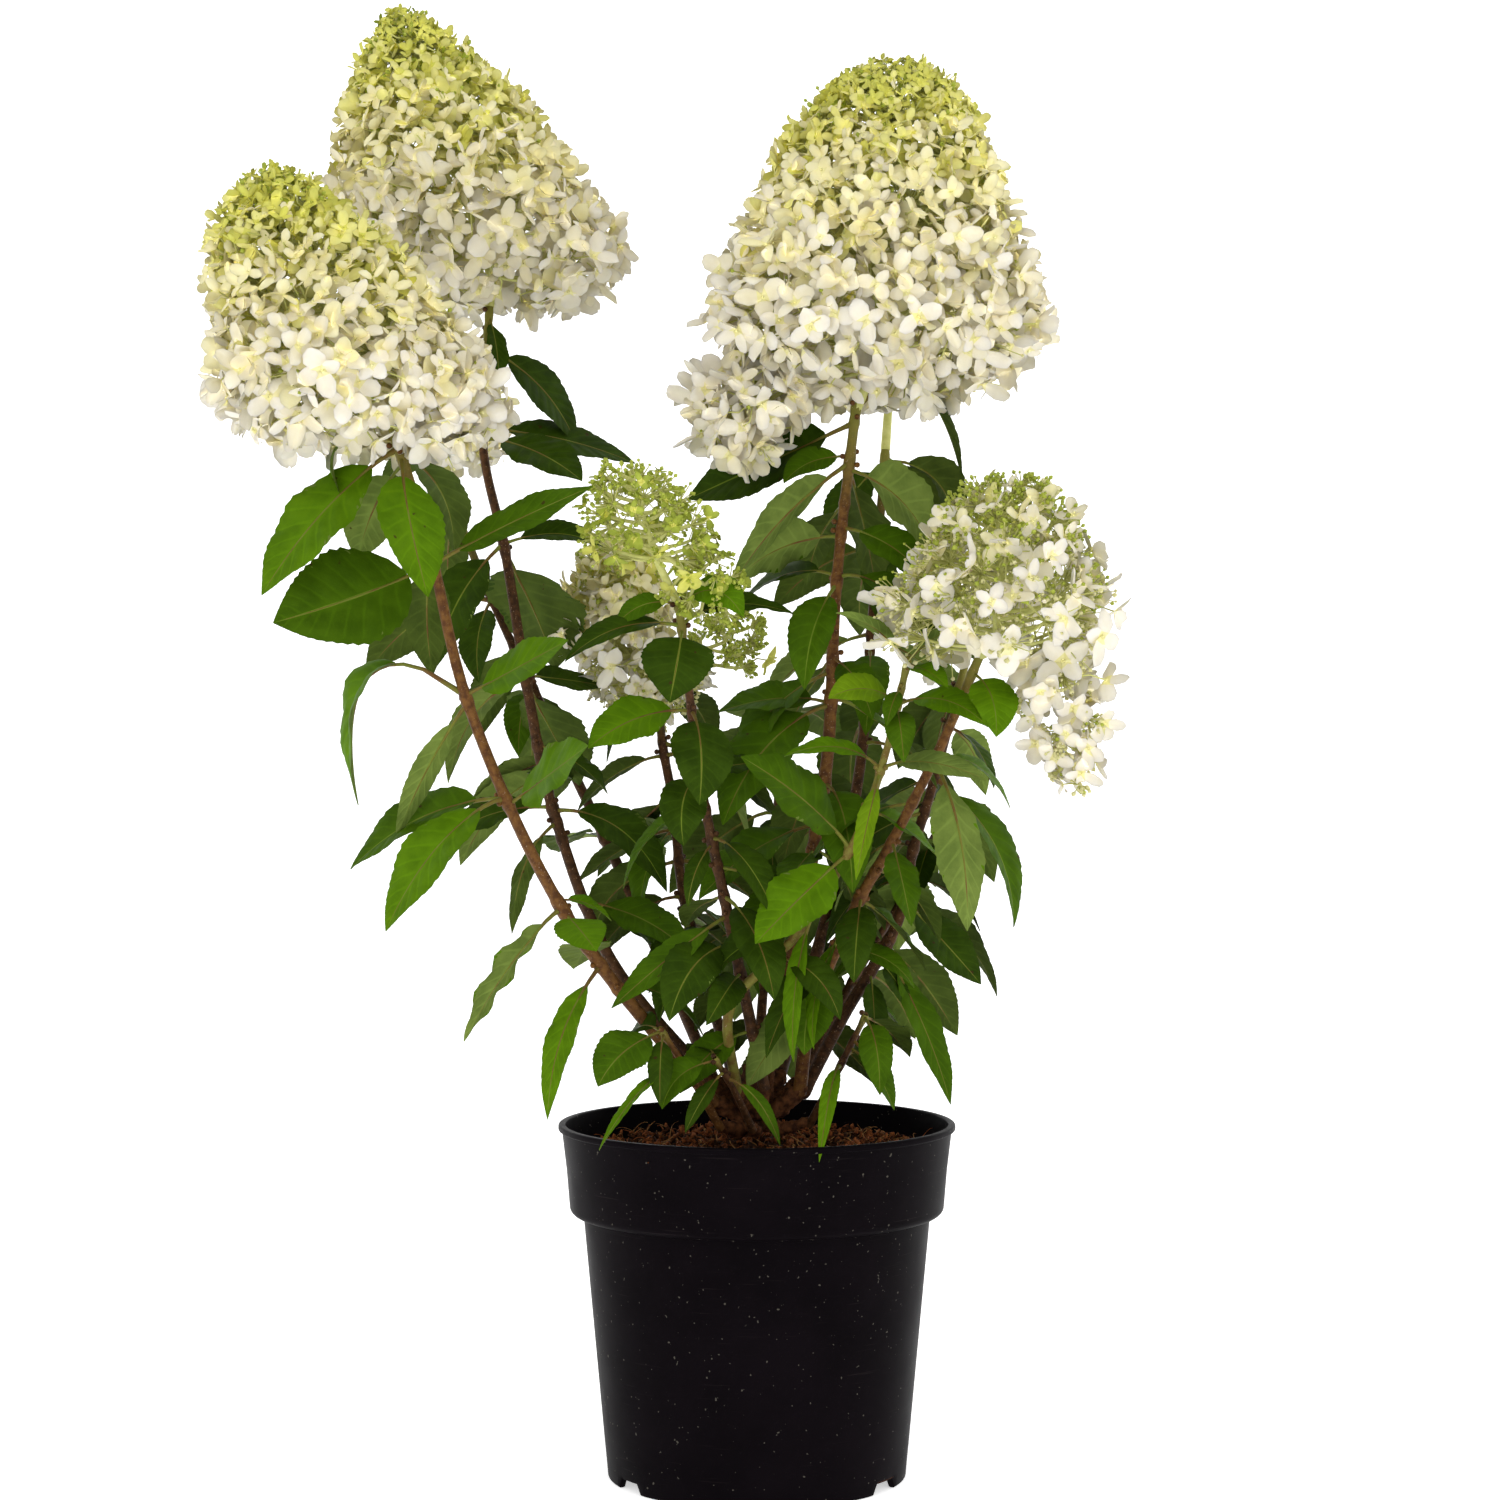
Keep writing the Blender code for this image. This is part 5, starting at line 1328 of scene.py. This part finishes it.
def scattered(reach, rng):
    """A level place within reach of the pot's axis, with the same chance all over the compost."""
    radius = reach * math.sqrt(rng.uniform(LITTER_START, 1))
    return radius * level_way(rng.uniform(0, math.tau))


def add_chip(pile, reach, rng):
    """A splinter of bark: a box with no two sides alike."""
    centre = scattered(reach, rng) + UP * (COMPOST_LEVEL + rng.uniform(*CHIP_LIFT) * MM)
    size = np.array([rng.uniform(*side) for side in CHIP_SIDES]) * MM * CHIP_SCALE
    axes = np.linalg.qr(rng.normal(size=(3, 3)))[0] * size[:, None]
    corners = np.array([(x, y, z) for z in (-1, 1) for x, y in ((-1, -1), (1, -1), (1, 1), (-1, 1))], float)
    corners = corners * rng.uniform(0.6, 1.1, corners.shape)
    pile.add(centre + corners @ axes, BOX_QUADS, "chip" if rng.random() < PALE_CHIP_SHARE else "compost")


def add_fibre(pile, reach, rng):
    """A loose fibre that lies on the compost or stands up from it a little."""
    place = scattered(reach, rng)
    start = place + UP * (COMPOST_LEVEL - FIBRE_SINK)
    way = level_way(rng.uniform(0, math.tau))
    steepness = rng.uniform(*FIBRE_STEEPNESS) ** 2
    direction = unit(way - place / reach * FIBRE_INWARD + UP * steepness)
    end = start + direction * (rng.uniform(*FIBRE_LENGTH) * MM)
    line = bent_line(start, end, unit(rng.normal(size=3) + direction), FIBRE_BEND, FIBRE_RINGS)
    line[:, 2] = np.maximum(line[:, 2], COMPOST_LEVEL - 2 * FIBRE_SINK)
    width = rng.uniform(*FIBRE_WIDTH)
    finish = "fibre" if rng.random() < PALE_FIBRE_SHARE else "chip"
    add_tube(pile, line, np.linspace(width, width / 2, FIBRE_RINGS) * MM, 4, finish)


def build_litter():
    rng = np.random.default_rng(LITTER_SEED)
    pile = Pile("compost_litter", ["compost", "chip", "fibre"])
    reach = float(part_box("compost")[1].x) - LITTER_EDGE
    for _ in range(CHIP_COUNT):
        add_chip(pile, reach, rng)
    for _ in range(FIBRE_COUNT):
        add_fibre(pile, reach, rng)
    pile.build((), "compost")


def crown_limbs():
    """The limbs that make the woody base: a start, an end, and a radius at each."""
    heart = UP * (CROWN_TOP - HEART_DEPTH)
    low_heart = UP * (COMPOST_LEVEL + LOW_HEART_HEIGHT)
    for name, shoot in SHOOTS.items():
        curve = shoot_curve(name)
        end = curve.point(0.0) + curve.direction(0.0) * LIMB_REACH
        start = (heart if shoot.bare else low_heart) + end * (1, 1, 0) * LIMB_SPREAD
        radius = shoot.thick * MM
        yield start, end, radius * LIMB_FOOT_SWELL, radius * LIMB_TIP_SWELL
    for heading, height, lean in OLD_STUBS:
        aside = level_way(math.radians(heading)) * lean * MM
        top = UP * (COMPOST_LEVEL + height * MM) + aside
        yield heart + aside * STUB_SPREAD, top, OLD_STUB_RADIUS * STUB_FOOT_SWELL, OLD_STUB_RADIUS


def crown_pile():
    """The crown's limbs and swollen foot, as they are before they are merged."""
    pile = Pile("crown_wood", ["wood"])
    share = np.linspace(LIMB_ENDS[0], LIMB_ENDS[-1], LIMB_RINGS)
    for start, end, first, last in crown_limbs():
        centres = start + (end - start) * share[:, None]
        radii = np.interp(share, LIMB_ENDS, (first / 2, first, last, last / 2))
        add_tube(pile, centres, radii, LIMB_SIDES, "wood")
        for centre, axis in ((centres[0], start - end), (centres[-1], end - start)):
            add_ball(pile, centre, unit(axis), radii[0], "wood", LIMB_END_SIDES)
    heights = CROWN_HEIGHTS * MM + COMPOST_LEVEL
    add_tube(pile, heights[:, None] * UP, CROWN_SWELL * CROWN_RADIUS, CROWN_SIDES, "wood")
    add_ball(pile, UP * (CROWN_TOP - CROWN_CAP_DEPTH), UP, CROWN_CAP_RADIUS, "wood", LIMB_SIDES)
    return pile


def build_crown():
    """Gnarled wood where the stems meet, merged and roughened."""
    item = crown_pile().build(["crown"], "wood")
    merge = item.modifiers.new("merge", "REMESH")
    merge.mode = "VOXEL"
    merge.voxel_size = CROWN_VOXEL
    merge.use_smooth_shade = True
    merged = item.evaluated_get(bpy.context.evaluated_depsgraph_get())
    mesh = bpy.data.meshes.new_from_object(merged)
    item.modifiers.clear()
    item.data = mesh
    points = np.array([vertex.co for vertex in mesh.vertices])
    normals = np.array([vertex.normal for vertex in mesh.vertices])
    moved = points + normals * rough(points, WOOD_LUMPS)[:, None]
    mesh.vertices.foreach_set("co", moved.astype(np.float32).ravel())
    mesh.update()


def pot_outside():
    """Radius and height from the middle of the underside, up the outside to the brim."""
    collar_foot = POT_HEIGHT - COLLAR_HEIGHT
    lip_foot = POT_HEIGHT - RIM_LIP
    collar_edge = COLLAR_RADIUS - 0.6 * MM
    foot_inside = BODY_FOOT_RADIUS - FOOT_WIDTH
    edge, step, brim, corner = EDGE_RADIUS, STEP_RADIUS, BRIM_RADIUS, COLLAR_CORNER
    outline = [(AXIS_GAP, 0), (CENTRE_PAD_RADIUS - MM, 0), (CENTRE_PAD_RADIUS, 0.4 * MM)]
    outline += [(CENTRE_PAD_RADIUS + WALL, FOOT_HEIGHT), (foot_inside - 2 * MM, FOOT_HEIGHT)]
    outline += [(foot_inside - 1.2 * MM, 0.5 * MM), (foot_inside, 0)]
    outline += arc((BODY_FOOT_RADIUS - 1.6 * MM, 1 * MM), 1 * MM, -90, 0, 5)
    outline += [(BODY_FOOT_RADIUS, FOOT_HEIGHT + MM)]
    for share in np.linspace(0.1, 0.98, 12):
        height = FOOT_HEIGHT + (collar_foot - FOOT_HEIGHT) * share
        outline.append((BODY_FOOT_RADIUS + (BODY_TOP_RADIUS - BODY_FOOT_RADIUS) * share, height))
    outline += arc((BODY_TOP_RADIUS + edge, collar_foot - edge), edge, 180, 90, 4)
    outline += arc((collar_edge - corner, collar_foot + corner), corner, -90, 0, 8)
    outline += [(COLLAR_RADIUS + 1.2 * MM, collar_foot + 0.5 * COLLAR_HEIGHT)]
    outline += arc((COLLAR_TOP_RADIUS + step, lip_foot - step), step, 180, 90, 4)
    outline += arc((RIM_RADIUS - edge, lip_foot + edge), edge, -90, 0, 5)
    return outline + arc((RIM_RADIUS - brim, POT_HEIGHT - brim), brim, 0, 90, 5)


def pot_inside():
    """Radius and height from the brim down to the middle of the pot's floor."""
    collar_foot = POT_HEIGHT - COLLAR_HEIGHT
    edge = INNER_EDGE_RADIUS
    outline = arc((COLLAR_TOP_RADIUS - WALL + edge, POT_HEIGHT - edge), edge, 90, 180, 5)
    outline += [(COLLAR_RADIUS - WALL - MM, collar_foot + 5 * MM), (BODY_TOP_RADIUS - WALL, collar_foot)]
    return outline + [(BODY_FOOT_RADIUS - WALL, FOOT_HEIGHT + WALL), (AXIS_GAP, FOOT_HEIGHT + WALL)]


def build_pot():
    """The nursery pot, turned from its profile, with drain notches raised out of its foot."""
    profile = np.array(pot_outside() + pot_inside())
    angles = turned_angles(POT_SIDES)
    wobble = 1 + sum(depth * np.sin(waves * angles + start) for waves, start, depth in POT_WOBBLE)
    radius, height = profile[:, :1], profile[:, 1:]
    on_foot = (radius > BODY_FOOT_RADIUS - FOOT_WIDTH - 2.1 * MM) & (height < FOOT_HEIGHT)
    for heading in NOTCH_HEADINGS:
        turn = (angles - math.radians(heading) + math.pi) % math.tau - math.pi
        inside = NOTCH_WIDTH / 2 - np.abs(turn) * BODY_FOOT_RADIUS
        raised = NOTCH_HEIGHT * np.clip(inside / NOTCH_EDGE, 0, 1)
        height = np.where(on_foot, np.maximum(height, raised), height)
    pile = Pile("pot_shell", ["pot"])
    pile.add_rings(level_rings(radius * wobble, height, POT_SIDES), "pot")
    item = pile.build(["pot"], "pot")
    item.data.set_sharp_from_angle(angle=math.radians(POT_SHARP_ANGLE))


def build_sweep():
    """A sweep of white paper under and behind the plant, which glows so that it stays white."""
    curve = [(SWEEP_FRONT, 0.0)]
    curve += arc((SWEEP_BACK - SWEEP_BEND, SWEEP_BEND), SWEEP_BEND, -90, 0, 14)
    curve += [(SWEEP_BACK, SWEEP_TOP)]
    points = [(x, y, z) for y, z in curve for x in (-SWEEP_HALF_WIDTH, SWEEP_HALF_WIDTH)]
    mesh = bpy.data.meshes.new("sweep")
    mesh.from_pydata(points, [], grid_quads(len(curve), 2).tolist())
    mesh.shade_smooth()
    paper = Paint("sweep_paper")
    paper.fill(paper.shader, {
        "Base Color": SWEEP_WHITE, "Roughness": 1, "Specular IOR Level": 0,
        "Emission Color": (1, 1, 1), "Emission Strength": SWEEP_GLOW,
    })
    mesh.materials.append(paper.material)
    sweep = new_object("sweep", mesh)


def build_surround():
    world = bpy.data.worlds.new("studio")
    world.use_nodes = True
    backdrop = world.node_tree.nodes["Background"]
    backdrop.inputs["Color"].default_value = (1, 1, 1, 1)
    backdrop.inputs["Strength"].default_value = SURROUND
    bpy.context.scene.world = world


def add_light(name, place, target, size, power):
    data = bpy.data.lights.new(name, "AREA")
    data.size = size
    data.energy = power
    lamp = new_object(name, data)
    lamp.location = place
    lamp.rotation_euler = (Vector(target) - Vector(place)).to_track_quat("-Z", "Y").to_euler()


def build_camera():
    data = bpy.data.cameras.new("camera")
    data.lens = CAMERA_LENS
    data.sensor_width = CAMERA_SENSOR
    camera = new_object("camera", data)
    camera.location = CAMERA_PLACE
    camera.rotation_euler = (math.radians(90 - CAMERA_DIP), 0, 0)
    bpy.context.scene.camera = camera


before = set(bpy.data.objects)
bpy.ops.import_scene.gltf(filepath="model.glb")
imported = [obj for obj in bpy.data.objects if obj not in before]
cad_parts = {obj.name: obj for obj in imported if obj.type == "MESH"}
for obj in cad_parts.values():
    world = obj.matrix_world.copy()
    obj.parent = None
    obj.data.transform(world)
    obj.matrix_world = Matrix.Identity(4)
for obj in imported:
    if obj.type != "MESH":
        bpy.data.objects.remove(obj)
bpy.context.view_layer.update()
MATERIALS = {name: make_material(name) for name in FINISHES}
MATERIALS["pot"] = pot_material()
build_camera()
build_sweep()
build_surround()
for light, values in LIGHTS.items():
    add_light(light, *values)
build_pot()
build_compost()
build_litter()
build_crown()
build_stems()
for group in LEAF_GROUPS:
    build_leaves(group)
build_blooms()
bpy.context.scene.view_settings.view_transform = "Standard"
